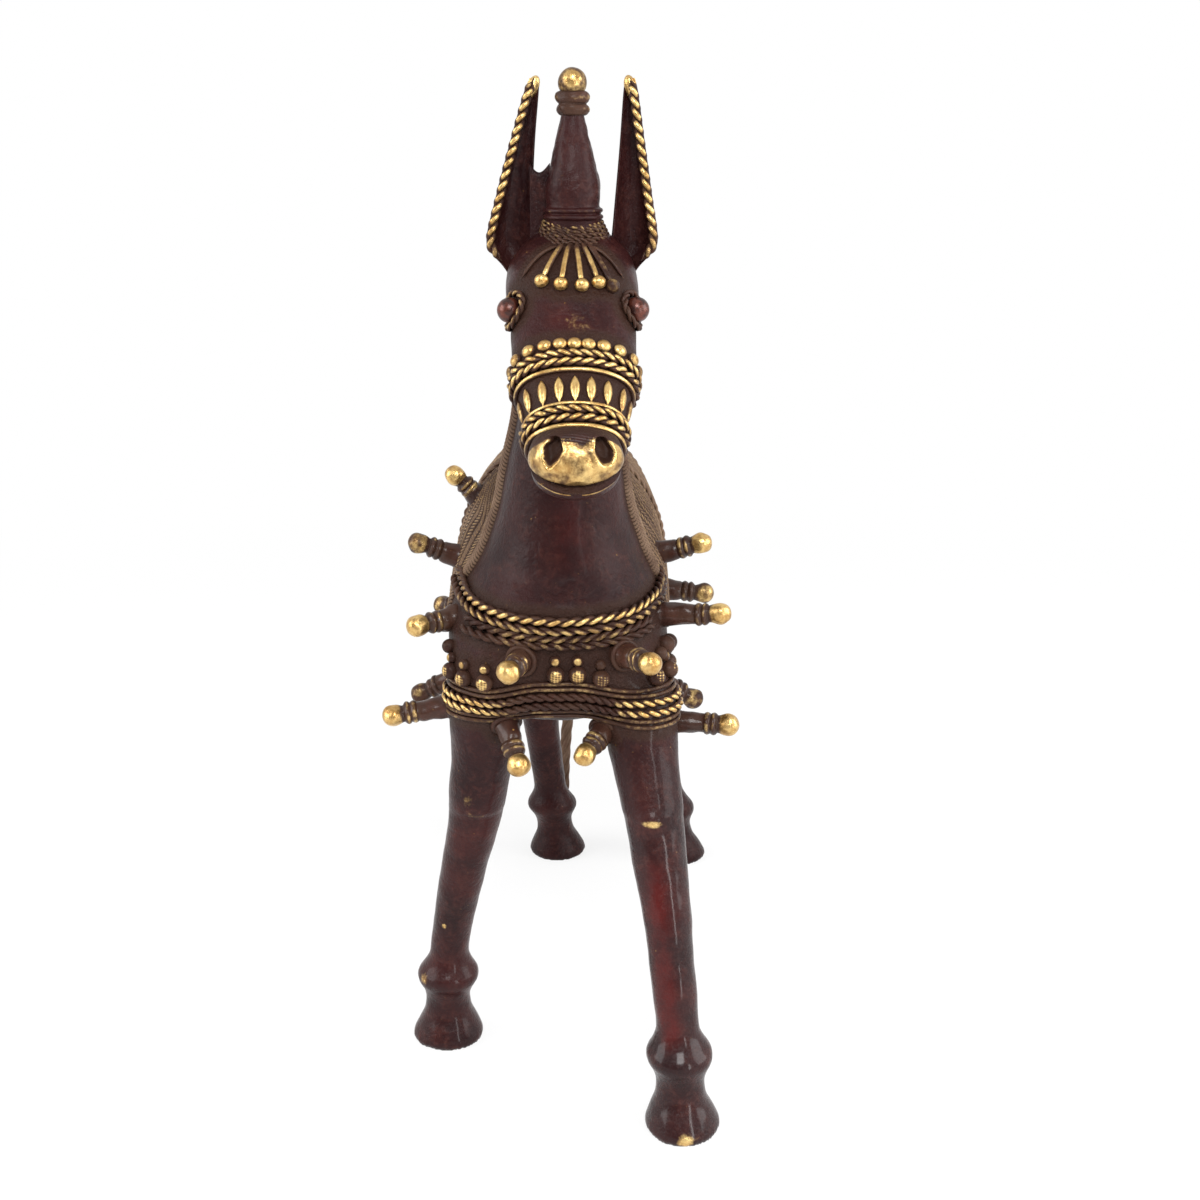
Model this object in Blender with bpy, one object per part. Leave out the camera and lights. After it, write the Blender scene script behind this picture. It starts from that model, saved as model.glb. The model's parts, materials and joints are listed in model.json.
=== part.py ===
"""Cast brass horse figurine, put together from the wax pieces that are joined before the pour.

Metres, +Z up. The horse faces -Y, and its own left is +X. Each add-on is seated on its host with SEAT_GAP:
lofted add-ons are trimmed by a grown copy of the host, and threads, beads and pegs are laid on the host's
surface with rays, so that they follow when a host changes size.
"""

import math

import bmesh
import bpy
from mathutils import Vector
from mathutils.bvhtree import BVHTree

MM = 0.001

# Seats and walls
SEAT_GAP = 0.3 * MM
SHELL_WALL = 3.0 * MM
BEAD_SINK = 0.3 * MM
BEAD_OVERLAP = 0.75 * MM
SHEET_SINK = 1.6 * MM

# Body
BODY_FRONT = 25.0 * MM
BODY_LENGTH = 127.0 * MM
BODY_AXIS = 112.5 * MM
BODY_HALF_WIDTH = 26.2 * MM
BODY_LEAN = -0.4 * MM
BODY_UP = 32.0 * MM
BODY_DOWN = 23.0 * MM
BODY_SQUARENESS = 2.15

# Neck and head
NECK_HEIGHT = 80.5 * MM
NECK_FOOT_DEPTH = 14.0 * MM
NECK_CORE_SHARE = 0.42
HEAD_PIVOT = BODY_AXIS + NECK_HEIGHT
NECK_LEAN = 0.8 * MM
HEAD_LEAN = 3.5 * MM
HEAD_BEHIND_CHEST = 10.0 * MM
HEAD_PITCH = math.radians(42.0)
HEAD_TURN = math.radians(1.9)
HEAD_LENGTH = 51.0 * MM
MOUTH_LEVEL = 2.0 * MM
MOUTH_GAP = 0.8 * MM
LIP_ROUND = 0.2 * MM
NOSTRIL_RADIUS = 2.0 * MM
NOSTRIL_SPREAD = 5.1 * MM
NOSTRIL_ALONG = 4.0 * MM
NOSTRIL_LIFT = 5.2 * MM
EYE_RADIUS = 2.5 * MM
EYE_ALONG = 16.6 * MM
EYE_LIFT = 4.6 * MM
EYE_RIM_RADIUS = 3.8 * MM
EYE_RIM_THREAD = 0.7 * MM

# Ears and crest
EAR_FOOT_DROP = 4.0 * MM
EAR_HEIGHT = 42.0 * MM
EAR_THICKNESS = 1.5 * MM
EAR_BOW = 1.5
EAR_ROPE_RADIUS = 0.95 * MM
CREST_BEHIND_CHEST = 6.0 * MM
CREST_LEAN = HEAD_LEAN + 0.4 * MM
CREST_LIFT = 11.0 * MM
CREST_RADIUS = 5.6 * MM
CREST_HEIGHT = 19.9 * MM
CREST_COLLAR_RADIUS = 3.75 * MM
CREST_COLLAR_HEIGHT = 3.6 * MM
CREST_BALL_RADIUS = 3.1 * MM
POLL_COIL_RADIUS = 6.8 * MM
FRINGE_RODS = 5
FRINGE_SPREAD = 3.7 * MM
FRINGE_ROD_RADIUS = 0.6 * MM
FRINGE_BALL_RADIUS = 1.45 * MM
FRINGE_KNOT_ALONG = 3.6 * MM
FRINGE_BALL_ALONG = 15.2 * MM

# Nosebands, measured along the head from the poll
NOSE_ROPE_RADIUS = 0.82 * MM
NOSE_ROPE_PITCH = 3.1 * MM
NOSE_WIRE_RADIUS = 0.5 * MM
NOSE_UPPER_ALONG = 32.6 * MM
NOSE_LOWER_ALONG = 45.5 * MM
NOSE_BEADS = 11
NOSE_BEAD_RADIUS = 1.35 * MM
NOSE_BEAD_STEP = math.radians(17.5)
PETALS = 9
PETAL_HALF_LENGTH = 2.9 * MM
PETAL_HALF_WIDTH = 0.95 * MM
PETAL_STEP = math.radians(21.5)

# Mane and saddle cloth
MANE_THICKNESS = 1.8 * MM
MANE_EDGE = math.radians(84.0)
MANE_TOP = 0.77 * NECK_HEIGHT
MANE_FOOT = 0.18 * NECK_HEIGHT
MANE_FOOT_BACK = 0.43 * NECK_HEIGHT
CLOTH_THICKNESS = 1.2 * MM
CLOTH_FRONT = 64.0 * MM
CLOTH_BACK = 101.0 * MM
CLOTH_REACH = math.radians(96.0)
CLOTH_ROPE_RADIUS = 0.9 * MM

# Collar round the foot of the neck
COLLAR_TOP = BODY_AXIS + 7.3 * MM
COLLAR_RISE = 4.5 * MM
COLLAR_ROPE_RADIUS = 1.1 * MM
COLLAR_PITCH = 3.6 * MM
COLLAR_REACH = math.radians(98.0)
COLLAR_LOWER_REACH = math.radians(54.0)
COLLAR_CENTRE = 27.0 * MM

# Band over the chest
BREAST_TOP = BODY_AXIS - 9.9 * MM
BREAST_ROPE_RADIUS = 0.95 * MM
BREAST_PITCH = 3.8 * MM
BREAST_WIRE_RADIUS = 0.5 * MM
BREAST_REACH = math.radians(97.0)
BREAST_DIP = 2.6 * MM
BREAST_DIP_START = math.radians(8.0)
BREAST_DIP_END = math.radians(36.0)
CHEST_BEAD_TURNS = (-55.0, -44.0, -33.0, -1.0, 9.5, 20.0, 45.0, 56.0, 67.0)
CHEST_BEAD_RADIUS = 2.0 * MM
CHEST_SMALL_BEAD_RADIUS = 1.25 * MM

# Pegs
PEG_SHORTEST = 7.5 * MM
PEG_ROOT_RADIUS = 2.6 * MM
PEG_TIP_RADIUS = 2.1 * MM
PEG_RING_RADIUS = 2.6 * MM
PEG_BALL_RADIUS = 2.5 * MM
PEG_ROOT_DEPTH = 4.0 * MM

# Legs and tail
HOOF_RADIUS = 8.9 * MM
PASTERN_RADIUS = 5.6 * MM
FETLOCK_RADIUS = 7.8 * MM
FETLOCK_HEIGHT = 17.9 * MM
SHANK_RADIUS = 4.9 * MM
KNEE_RADIUS = 6.3 * MM
LEG_TOP_RADIUS = 9.2 * MM
HIP_INSET = 9.8 * MM
LEFT_FORE_FOOT = (28.6 * MM, 8.0 * MM)
RIGHT_FORE_FOOT = (-29.3 * MM, 46.0 * MM)
LEFT_HIND_FOOT = (34.6 * MM, 149.0 * MM)
RIGHT_HIND_FOOT = (-4.0 * MM, 152.5 * MM)
FORE_HIP_ALONG = 13.5 * MM
HIND_HIP_ALONG = 108.0 * MM
TAIL_RADIUS = 1.65 * MM
TAIL_ROOT_LIFT = 16.0 * MM
TAIL_SWEEP = 12.0 * MM
TAIL_END_HEIGHT = 21.0 * MM

# Facets
BODY_SIDES = 20
ROUND_SIDES = 12
PEG_SIDES = 7
ROPE_CORNERS = 3
WIRE_CORNERS = 4
RAY_COUNT = 73
RAY_REACH = 0.2
CLEAR_ROUNDS = 7

# Shapes read by the lofts: shares of the sizes above, or millimetres where a row says so.
# Body: along, lift in mm, width, up, down
BODY_ROWS = (
    (0.000, -9.5, 0.20, 0.12, 0.13),
    (0.005, -9.5, 0.44, 0.25, 0.27),
    (0.024, -9.5, 0.72, 0.40, 0.44),
    (0.071, -8.5, 0.904, 0.52, 0.565),
    (0.150, -6.0, 0.979, 0.66, 0.67),
    (0.276, -2.5, 1.0, 0.875, 0.85),
    (0.433, 0.0, 1.0, 1.0, 1.0),
    (0.630, 0.5, 0.979, 0.97, 1.0),
    (0.811, 1.0, 0.904, 0.89, 0.91),
    (0.921, 1.5, 0.71, 0.69, 0.74),
    (0.976, 1.5, 0.43, 0.41, 0.48),
    (1.000, 1.5, 0.14, 0.14, 0.17),
)
# Neck: share of its height, or of its foot's depth below the body axis, then front and back behind the
# chest, and half width, in mm
NECK_ROWS = (
    (-1.000, 13.0, 50.0, 16.0),
    (-0.273, 5.0, 56.0, 21.0),
    (0.068, -2.5, 55.0, 23.0),
    (0.180, 2.0, 51.0, 19.3),
    (0.304, 4.0, 45.0, 15.4),
    (0.441, 5.0, 38.0, 13.2),
    (0.590, 5.0, 32.0, 10.9),
    (0.739, 3.0, 27.0, 10.0),
    (0.870, 2.0, 21.0, 9.5),
    (0.960, 4.0, 17.0, 7.0),
)
# Head: share of its length, half width, up and down in mm
HEAD_ROWS = (
    (-0.18, 3.0, 3.0, 3.0),
    (-0.14, 7.0, 7.0, 7.0),
    (0.00, 12.8, 10.0, 11.0),
    (0.16, 13.9, 11.2, 12.0),
    (0.31, 13.0, 10.8, 12.4),
    (0.51, 12.7, 9.4, 11.0),
    (0.67, 11.8, 8.6, 9.6),
    (0.90, 9.2, 7.6, 8.2),
    (1.00, 8.8, 7.2, 7.6),
)
# Muzzle and lip: mm past the end of the head, half width, height from the mouth line
MUZZLE_ROWS = (
    (0.3, 8.9, 6.4),
    (2.5, 9.1, 6.2),
    (4.8, 8.7, 5.6),
    (6.4, 7.2, 4.5),
    (7.4, 4.6, 2.9),
    (7.8, 2.0, 1.3),
)
LIP_ROWS = (
    (0.3, 8.6, 9.4),
    (3.5, 8.8, 8.2),
    (6.2, 8.4, 6.4),
    (8.1, 6.9, 4.4),
    (9.0, 4.4, 2.8),
    (9.3, 2.0, 1.5),
)
# Ears: share of height, half width and how far the foot is drawn in, in mm
EAR_ROWS = (
    (0.00, 2.6, 5.0),
    (0.10, 3.4, 2.8),
    (0.17, 4.3, 0.9),
    (0.24, 4.65, 0.0),
    (0.44, 3.65, 0.0),
    (0.69, 2.4, 0.0),
    (0.93, 1.3, 0.0),
    (1.00, 0.7, 0.0),
)
LEFT_EAR_SPREAD = (13.4 * MM, 12.2 * MM)
RIGHT_EAR_SPREAD = (13.7 * MM, 7.5 * MM)
# Legs: share of the height, and how far the leg has come in from its foot to its hip
EVEN_BEND = ((0.0, 0.0), (1.0, 1.0))
FORWARD_BEND = ((0.0, 0.0), (0.2, 0.08), (0.47, 0.31), (0.62, 0.51), (0.84, 0.8), (1.0, 1.0))
KNEE_BEND = ((0.0, 0.0), (0.08, 0.0), (0.17, 0.05), (0.25, 0.08), (0.49, 0.47), (0.585, 0.67), (0.78, 0.9), (1.0, 1.0))
# Pegs: name, centre of the ball and the way that the peg points. The centre is a share of the body's half
# width across, then mm behind the chest and above the body axis
PEG_ROWS = (
    ("right_front_peg", (-0.405, -7.0, -4.9), (-0.34, -0.93, -0.05)),
    ("left_front_peg", (0.786, -7.0, -2.8), (0.53, -0.84, 0.10)),
    ("right_chest_peg", (-0.336, -2.5, -28.7), (0.28, -0.75, -0.60)),
    ("left_chest_peg", (0.229, -3.0, -26.0), (-0.47, -0.82, -0.32)),
    ("right_shoulder_peg", (-1.244, 13.0, -0.5), (-0.85, -0.52, -0.04)),
    ("left_shoulder_peg", (1.424, 14.0, 2.1), (0.96, -0.28, 0.09)),
    ("right_withers_peg", (-1.321, 36.0, 13.3), (-0.91, -0.18, 0.37)),
    ("left_withers_peg", (1.305, 36.0, 13.3), (0.94, -0.20, 0.28)),
    ("right_back_peg", (-1.031, 54.0, 26.3), (-0.70, -0.08, 0.71)),
    ("right_flank_peg", (-1.191, 57.0, -8.8), (-0.70, 0.70, -0.15)),
    ("left_flank_peg", (1.393, 56.0, -5.2), (0.99, -0.12, -0.06)),
    ("right_fore_peg", (-1.485, 12.0, -22.2), (-0.98, -0.15, -0.13)),
    ("left_fore_peg", (1.508, 10.0, -23.7), (0.98, -0.19, 0.0)),
    ("right_girth_peg", (-1.359, 39.0, -26.6), (-0.87, 0.12, -0.49)),
    ("left_girth_peg", (1.256, 38.0, -27.6), (0.85, 0.10, -0.53)),
)


def clear_scene():
    for old in list(bpy.data.objects):
        bpy.data.objects.remove(old)


def material(name, colour, roughness, metallic):
    made = bpy.data.materials.new(name)
    made.use_nodes = True
    shader = made.node_tree.nodes["Principled BSDF"]
    shader.inputs["Base Color"].default_value = (*colour, 1.0)
    shader.inputs["Roughness"].default_value = roughness
    shader.inputs["Metallic"].default_value = metallic
    return made


def add_object(name, mesh, surface, parent):
    made = bpy.data.objects.new(name, mesh)
    bpy.context.scene.collection.objects.link(made)
    made.parent = parent
    if surface is not None and not mesh.materials:
        mesh.materials.append(surface)
    return made


def hide_as_tool(tool):
    tool.hide_render = True
    tool.display_type = "WIRE"
    return tool


def mesh_of(name, points, faces):
    mesh = bpy.data.meshes.new(name)
    mesh.from_pydata([tuple(p) for p in points], [], faces)
    shell = bmesh.new()
    shell.from_mesh(mesh)
    bmesh.ops.recalc_face_normals(shell, faces=shell.faces)
    bmesh.ops.triangulate(shell, faces=shell.faces)
    for face in shell.faces:
        face.smooth = True
    shell.to_mesh(mesh)
    shell.free()
    return mesh


def loft_mesh(name, rings, closed=False):
    """A skin over rings of points, capped at both ends unless the rings close on themselves."""
    sides = len(rings[0])
    points = [p for ring in rings for p in ring]
    spans = len(rings) if closed else len(rings) - 1
    faces = []
    for k in range(spans):
        here = k * sides
        there = ((k + 1) % len(rings)) * sides
        for i in range(sides):
            j = (i + 1) % sides
            faces.append((here + i, here + j, there + j, there + i))
    if not closed:
        faces.append(tuple(range(sides)))
        faces.append(tuple(range(len(points) - sides, len(points))))
    return mesh_of(name, points, faces)


def shell_mesh(name, inner, outer):
    """A closed sheet between two grids of points of the same size."""
    rows = len(inner)
    columns = len(inner[0])
    points = [p for row in inner for p in row] + [p for row in outer for p in row]
    top = rows * columns
    faces = []
    for j in range(rows - 1):
        for i in range(columns - 1):
            a = j * columns + i
            b = a + columns
            faces.append((a, a + 1, b + 1, b))
            faces.append((top + a, top + b, top + b + 1, top + a + 1))
    for j in range(rows - 1):
        for i in (0, columns - 1):
            a = j * columns + i
            faces.append((a, a + columns, top + a + columns, top + a))
    for i in range(columns - 1):
        for j in (0, rows - 1):
            a = j * columns + i
            faces.append((a, a + 1, top + a + 1, top + a))
    return mesh_of(name, points, faces)


def smooth_rows(rows, count):
    """Rows read from a smooth curve through the given rows."""
    found = []
    last = len(rows) - 1
    for step in range(count):
        place = step * last / (count - 1)
        k = min(int(place), last - 1)
        t = place - k
        ends = (rows[max(k - 1, 0)], rows[k], rows[k + 1], rows[min(k + 2, last)])
        found.append([spline(*column, t) for column in zip(*ends)])
    return found


def spline(a, b, c, d, t):
    bend = (c - a) * t + (2 * a - 5 * b + 4 * c - d) * t * t + (3 * b - a - 3 * c + d) * t ** 3
    return b + 0.5 * bend


def oval(centre, right, up, half_width, half_up, half_down, squareness, sides):
    """A ring of points on a rounded section whose upper and lower halves may differ."""
    ring = []
    for i in range(sides):
        angle = 2 * math.pi * i / sides
        across = math.cos(angle)
        rise = math.sin(angle)
        half = half_up if rise >= 0 else half_down
        power = (abs(across) / half_width) ** squareness + (abs(rise) / half) ** squareness
        reach = power ** (-1 / squareness)
        ring.append(centre + right * (reach * across) + up * (reach * rise))
    return ring


X = Vector((1, 0, 0))
Y = Vector((0, 1, 0))
Z = Vector((0, 0, 1))


def turned_mesh(name, rows, sides):
    """A body turned about its own Z axis from rows of height and radius."""
    rings = [oval(Z * height, X, Y, radius, radius, radius, 2.0, sides) for height, radius in rows]
    return loft_mesh(name, rings)


def ball_rows(centre, radius, steps, first=0.0):
    rows = []
    for k in range(steps + 1):
        angle = math.pi * (first + (1 - first) * k / steps)
        ring = max(math.sin(angle), 0.12)
        rows.append((centre - radius * math.cos(angle), radius * ring))
    return rows


def body_rings(grow, count, sides):
    rings = []
    rows = smooth_rows(BODY_ROWS, count)
    for along, lift, width, up, down in rows:
        end = 1 if along > 0.99 else (-1 if along < 0.01 else 0)
        centre = Vector((0, BODY_LENGTH * along + end * grow, lift * MM))
        half = max(BODY_HALF_WIDTH * width + grow, 1.0 * MM)
        high = max(BODY_UP * up + grow, 1.0 * MM)
        low = max(BODY_DOWN * down + grow, 1.0 * MM)
        rings.append(oval(centre, X, Z, half, high, low, BODY_SQUARENESS, sides))
    return rings


def neck_lean(height):
    share = min(max(height / NECK_HEIGHT, 0.0), 1.0)
    return NECK_LEAN + (HEAD_LEAN - NECK_LEAN) * share * share


def neck_rings(grow, count, sides, top_share=1.0):
    rings = []
    rows = []
    for share, front, back, half in NECK_ROWS:
        rows.append((share * (NECK_HEIGHT if share > 0 else NECK_FOOT_DEPTH), front, back, half))
    for height, front, back, half in smooth_rows(rows, count):
        if height > top_share * NECK_HEIGHT:
            continue
        middle = (front + back) * 0.5 * MM
        depth = (back - front) * 0.5 * MM + grow
        centre = Vector((neck_lean(height), middle, height))
        rings.append(oval(centre, X, Y, half * MM + grow, depth, depth, 2.15, sides))
    return rings


def head_rings(count, sides):
    rings = []
    for share, half, up, down in smooth_rows(HEAD_ROWS, count):
        centre = Vector((0, -share * HEAD_LENGTH, 0))
        rings.append(oval(centre, X, Z, half * MM, up * MM, down * MM, 2.25, sides))
    return rings


def jaw_rings(rows, upward, count, sides):
    rings = []
    for past, half, height in smooth_rows(rows, count):
        level = MOUTH_LEVEL + upward * (0.5 * MOUTH_GAP + LIP_ROUND)
        centre = Vector((0, -HEAD_LENGTH - past * MM, level))
        tall = height * MM
        high = tall if upward > 0 else LIP_ROUND
        low = LIP_ROUND if upward > 0 else tall
        rings.append(oval(centre, X, Z, half * MM, high, low, 2.3, sides))
    return rings


def share_at(stops, place):
    """The second value at a place, on straight lines between the stops."""
    for (a, low), (b, high) in zip(stops, stops[1:]):
        if place <= b:
            return low + (high - low) * (place - a) / (b - a)
    return stops[-1][1]


def leg_rings(foot, hip, top, bend, sides):
    """Hoof, pastern and fetlock keep their heights; the shank and the shoulder fill what is left."""
    shank = FETLOCK_HEIGHT + 8.0 * MM
    long = top - shank
    rows = (
        (0.0, HOOF_RADIUS - 0.6 * MM),
        (1.2 * MM, HOOF_RADIUS),
        (0.25 * FETLOCK_HEIGHT, HOOF_RADIUS - 1.3 * MM),
        (0.44 * FETLOCK_HEIGHT, PASTERN_RADIUS + 0.4 * MM),
        (0.63 * FETLOCK_HEIGHT, PASTERN_RADIUS),
        (0.78 * FETLOCK_HEIGHT, FETLOCK_RADIUS - 1.0 * MM),
        (FETLOCK_HEIGHT, FETLOCK_RADIUS),
        (1.15 * FETLOCK_HEIGHT, FETLOCK_RADIUS - 0.8 * MM),
        (1.28 * FETLOCK_HEIGHT, SHANK_RADIUS + 0.7 * MM),
        (shank, SHANK_RADIUS),
        (shank + 0.22 * long, SHANK_RADIUS + 0.5 * MM),
        (shank + 0.42 * long, KNEE_RADIUS),
        (shank + 0.60 * long, KNEE_RADIUS + 0.8 * MM),
        (shank + 0.78 * long, LEG_TOP_RADIUS - 0.7 * MM),
        (shank + 0.91 * long, LEG_TOP_RADIUS),
        (top, 0.75 * LEG_TOP_RADIUS),
    )
    rings = []
    lean = Vector((hip[0] - foot[0], hip[1] - foot[1], 0))
    for height, radius in rows:
        centre = lean * share_at(bend, height / top) + Z * height
        rings.append(oval(centre, X, Y, radius, radius, radius, 2.0, sides))
    return rings


def skin_of(*hosts):
    """The surface that rays are cast at: the untrimmed forms of the hosts, in the horse's frame."""
    points = []
    faces = []
    for host in hosts:
        start = len(points)
        points.extend(host.matrix_basis @ v.co for v in host.data.vertices)
        faces.extend([start + i for i in p.vertices] for p in host.data.polygons)
    return BVHTree.FromPolygons(points, faces)


def lay(skin, rays, lift, closed=False):
    """Points at a height above the skin where the rays meet it, each with an evened-out normal."""
    hits = []
    for start, way in rays:
        place, normal, _, _ = skin.ray_cast(start, way)
        if place is None:
            continue
        hits.append((place, normal if normal.dot(way) < 0 else -normal))
    path = []
    last = len(hits)
    for k in range(last):
        total = Vector((0, 0, 0))
        for step in range(-3, 4):
            j = (k + step) % last if closed else min(max(k + step, 0), last - 1)
            total += hits[j][1]
        normal = total.normalized()
        path.append((hits[k][0] + normal * lift, normal))
    return path


def sweep_rays(centre, axis, front, reach, count, closed=False):
    """Rays at a centre from all round, or from an arc either side of the front."""
    side = axis.cross(front)
    rays = []
    for k in range(count):
        turn = 2 * math.pi * k / count if closed else reach * (2 * k / (count - 1) - 1)
        way = front * math.cos(turn) + side * math.sin(turn)
        rays.append((centre + way * RAY_REACH, -way))
    return rays


def spread_out(path, closed, count):
    """The path again with its points at even distances."""
    stops = path + path[:1] if closed else path
    lengths = [0.0]
    for (a, _), (b, _) in zip(stops, stops[1:]):
        lengths.append(lengths[-1] + (b - a).length)
    gaps = count if closed else count - 1
    found = []
    k = 0
    for step in range(count):
        want = lengths[-1] * step / gaps
        while k < len(lengths) - 2 and lengths[k + 1] < want:
            k += 1
        t = (want - lengths[k]) / max(lengths[k + 1] - lengths[k], 1e-9)
        place = stops[k][0].lerp(stops[k + 1][0], t)
        normal = stops[k][1].lerp(stops[k + 1][1], t).normalized()
        found.append((place, normal))
    return found


def dip_share(turn):
    """How far the breast band has come down at a turn from the front, from 0 to 1."""
    t = min(max((turn - BREAST_DIP_START) / (BREAST_DIP_END - BREAST_DIP_START), 0.0), 1.0)
    return t * t * (3 - 2 * t)


def path_length(path, closed):
    stops = path + path[:1] if closed else path
    return sum((b - a).length for (a, _), (b, _) in zip(stops, stops[1:]))


def clearance(skin, place):
    """How far a place is outside the skin, and the way straight out."""
    near, way, _, gap = skin.find_nearest(place)
    away = place - near
    if away.dot(way) < 0:
        return -gap, way
    return gap, away.normalized()


def kept_clear(skin, path, distance):
    """The path again, moved out wherever it, or a place within a span, came too near the skin."""
    places = [place.copy() for place, _ in path]
    for _ in range(CLEAR_ROUNDS):
        for k in range(len(places)):
            gap, way = clearance(skin, places[k])
            if gap < distance:
                places[k] += way * (distance - gap)
        for k in range(len(places) - 1):
            for share in (0.5, 0.25, 0.75):
                gap, way = clearance(skin, places[k].lerp(places[k + 1], share))
                if gap < distance:
                    places[k] += way * ((distance - gap) * 2 * (1 - share))
                    places[k + 1] += way * ((distance - gap) * 2 * share)
    return [(place, normal) for place, (_, normal) in zip(places, path)]


def strand_stops(path, radius, corners, pitch, hand, closed, skin):
    """Even stops along a path for the rings of a thread, kept clear of the skin."""
    lumps = max(4, round(path_length(path, closed) / pitch))
    if closed:
        lumps = max(corners, round(lumps / corners) * corners)
    count = 2 * lumps if closed else 2 * lumps + 1
    if not hand:
        count = lumps
    stops = spread_out(path, closed, count)
    if skin is None:
        return stops
    return kept_clear(skin, stops, radius + SEAT_GAP)


def strand_mesh(name, path, radius, corners, pitch, hand, closed, skin=None):
    """A thread along a path. With a hand it is twisted, so its corners wind round like rope strands."""
    stops = strand_stops(path, radius, corners, pitch, hand, closed, skin)
    count = len(stops)
    rings = []
    for k, (centre, normal) in enumerate(stops):
        after = stops[(k + 1) % count][0] if closed or k < count - 1 else centre
        before = stops[k - 1][0] if closed or k > 0 else centre
        along = (after - before).normalized()
        side = along.cross(normal).normalized()
        up = side.cross(along)
        turn = hand * math.pi * k / corners
        ring = []
        for i in range(corners):
            angle = turn + 2 * math.pi * i / corners
            ring.append(centre + (up * math.cos(angle) + side * math.sin(angle)) * radius)
        rings.append(ring)
    return loft_mesh(name, rings, closed)


def balls_mesh(name, places, radius, stretch=None, frames=None):
    """Separate balls in one mesh; stretch gives an oval bead's three half sizes on its own frame."""
    shell = bmesh.new()
    for n, place in enumerate(places):
        made = bmesh.ops.create_uvsphere(shell, u_segments=7, v_segments=4, radius=1.0)
        for vert in made["verts"]:
            if stretch is None:
                vert.co = place + vert.co * radius
            else:
                one, two, three = frames[n]
                moved = one * (vert.co.x * stretch[0]) + two * (vert.co.y * stretch[1])
                vert.co = place + moved + three * (vert.co.z * stretch[2])
    mesh = bpy.data.meshes.new(name)
    shell.to_mesh(mesh)
    shell.free()
    for face in mesh.polygons:
        face.use_smooth = True
    return mesh


def nearest_on(stops, place):
    """The point nearest to a place on straight lines between stops."""
    found = stops[0][0]
    for (a, _), (b, _) in zip(stops, stops[1:]):
        share = (place - a).dot(b - a) / (b - a).length_squared
        near = a.lerp(b, min(max(share, 0.0), 1.0))
        if (near - place).length < (found - place).length:
            found = near
    return found


def pulled_to(place, anchor, distance):
    """The place again, brought along a straight line to a set distance from its anchor."""
    return anchor + (place - anchor).normalized() * distance


def boolean(target, tool, operation):
    step = target.modifiers.new(operation.lower() + "_" + tool.name, "BOOLEAN")
    step.operation = operation
    step.solver = "EXACT"
    step.object = tool


def grown_copy(host, gap):
    """A hidden copy of a host's form, larger by a gap, that trims what sits on the host."""
    tool = add_object("grown_" + host.name, host.data, None, host.parent)
    tool.matrix_basis = host.matrix_basis
    push = tool.modifiers.new("grow", "DISPLACE")
    push.strength = gap
    push.mid_level = 0.0
    return hide_as_tool(tool)


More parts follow.
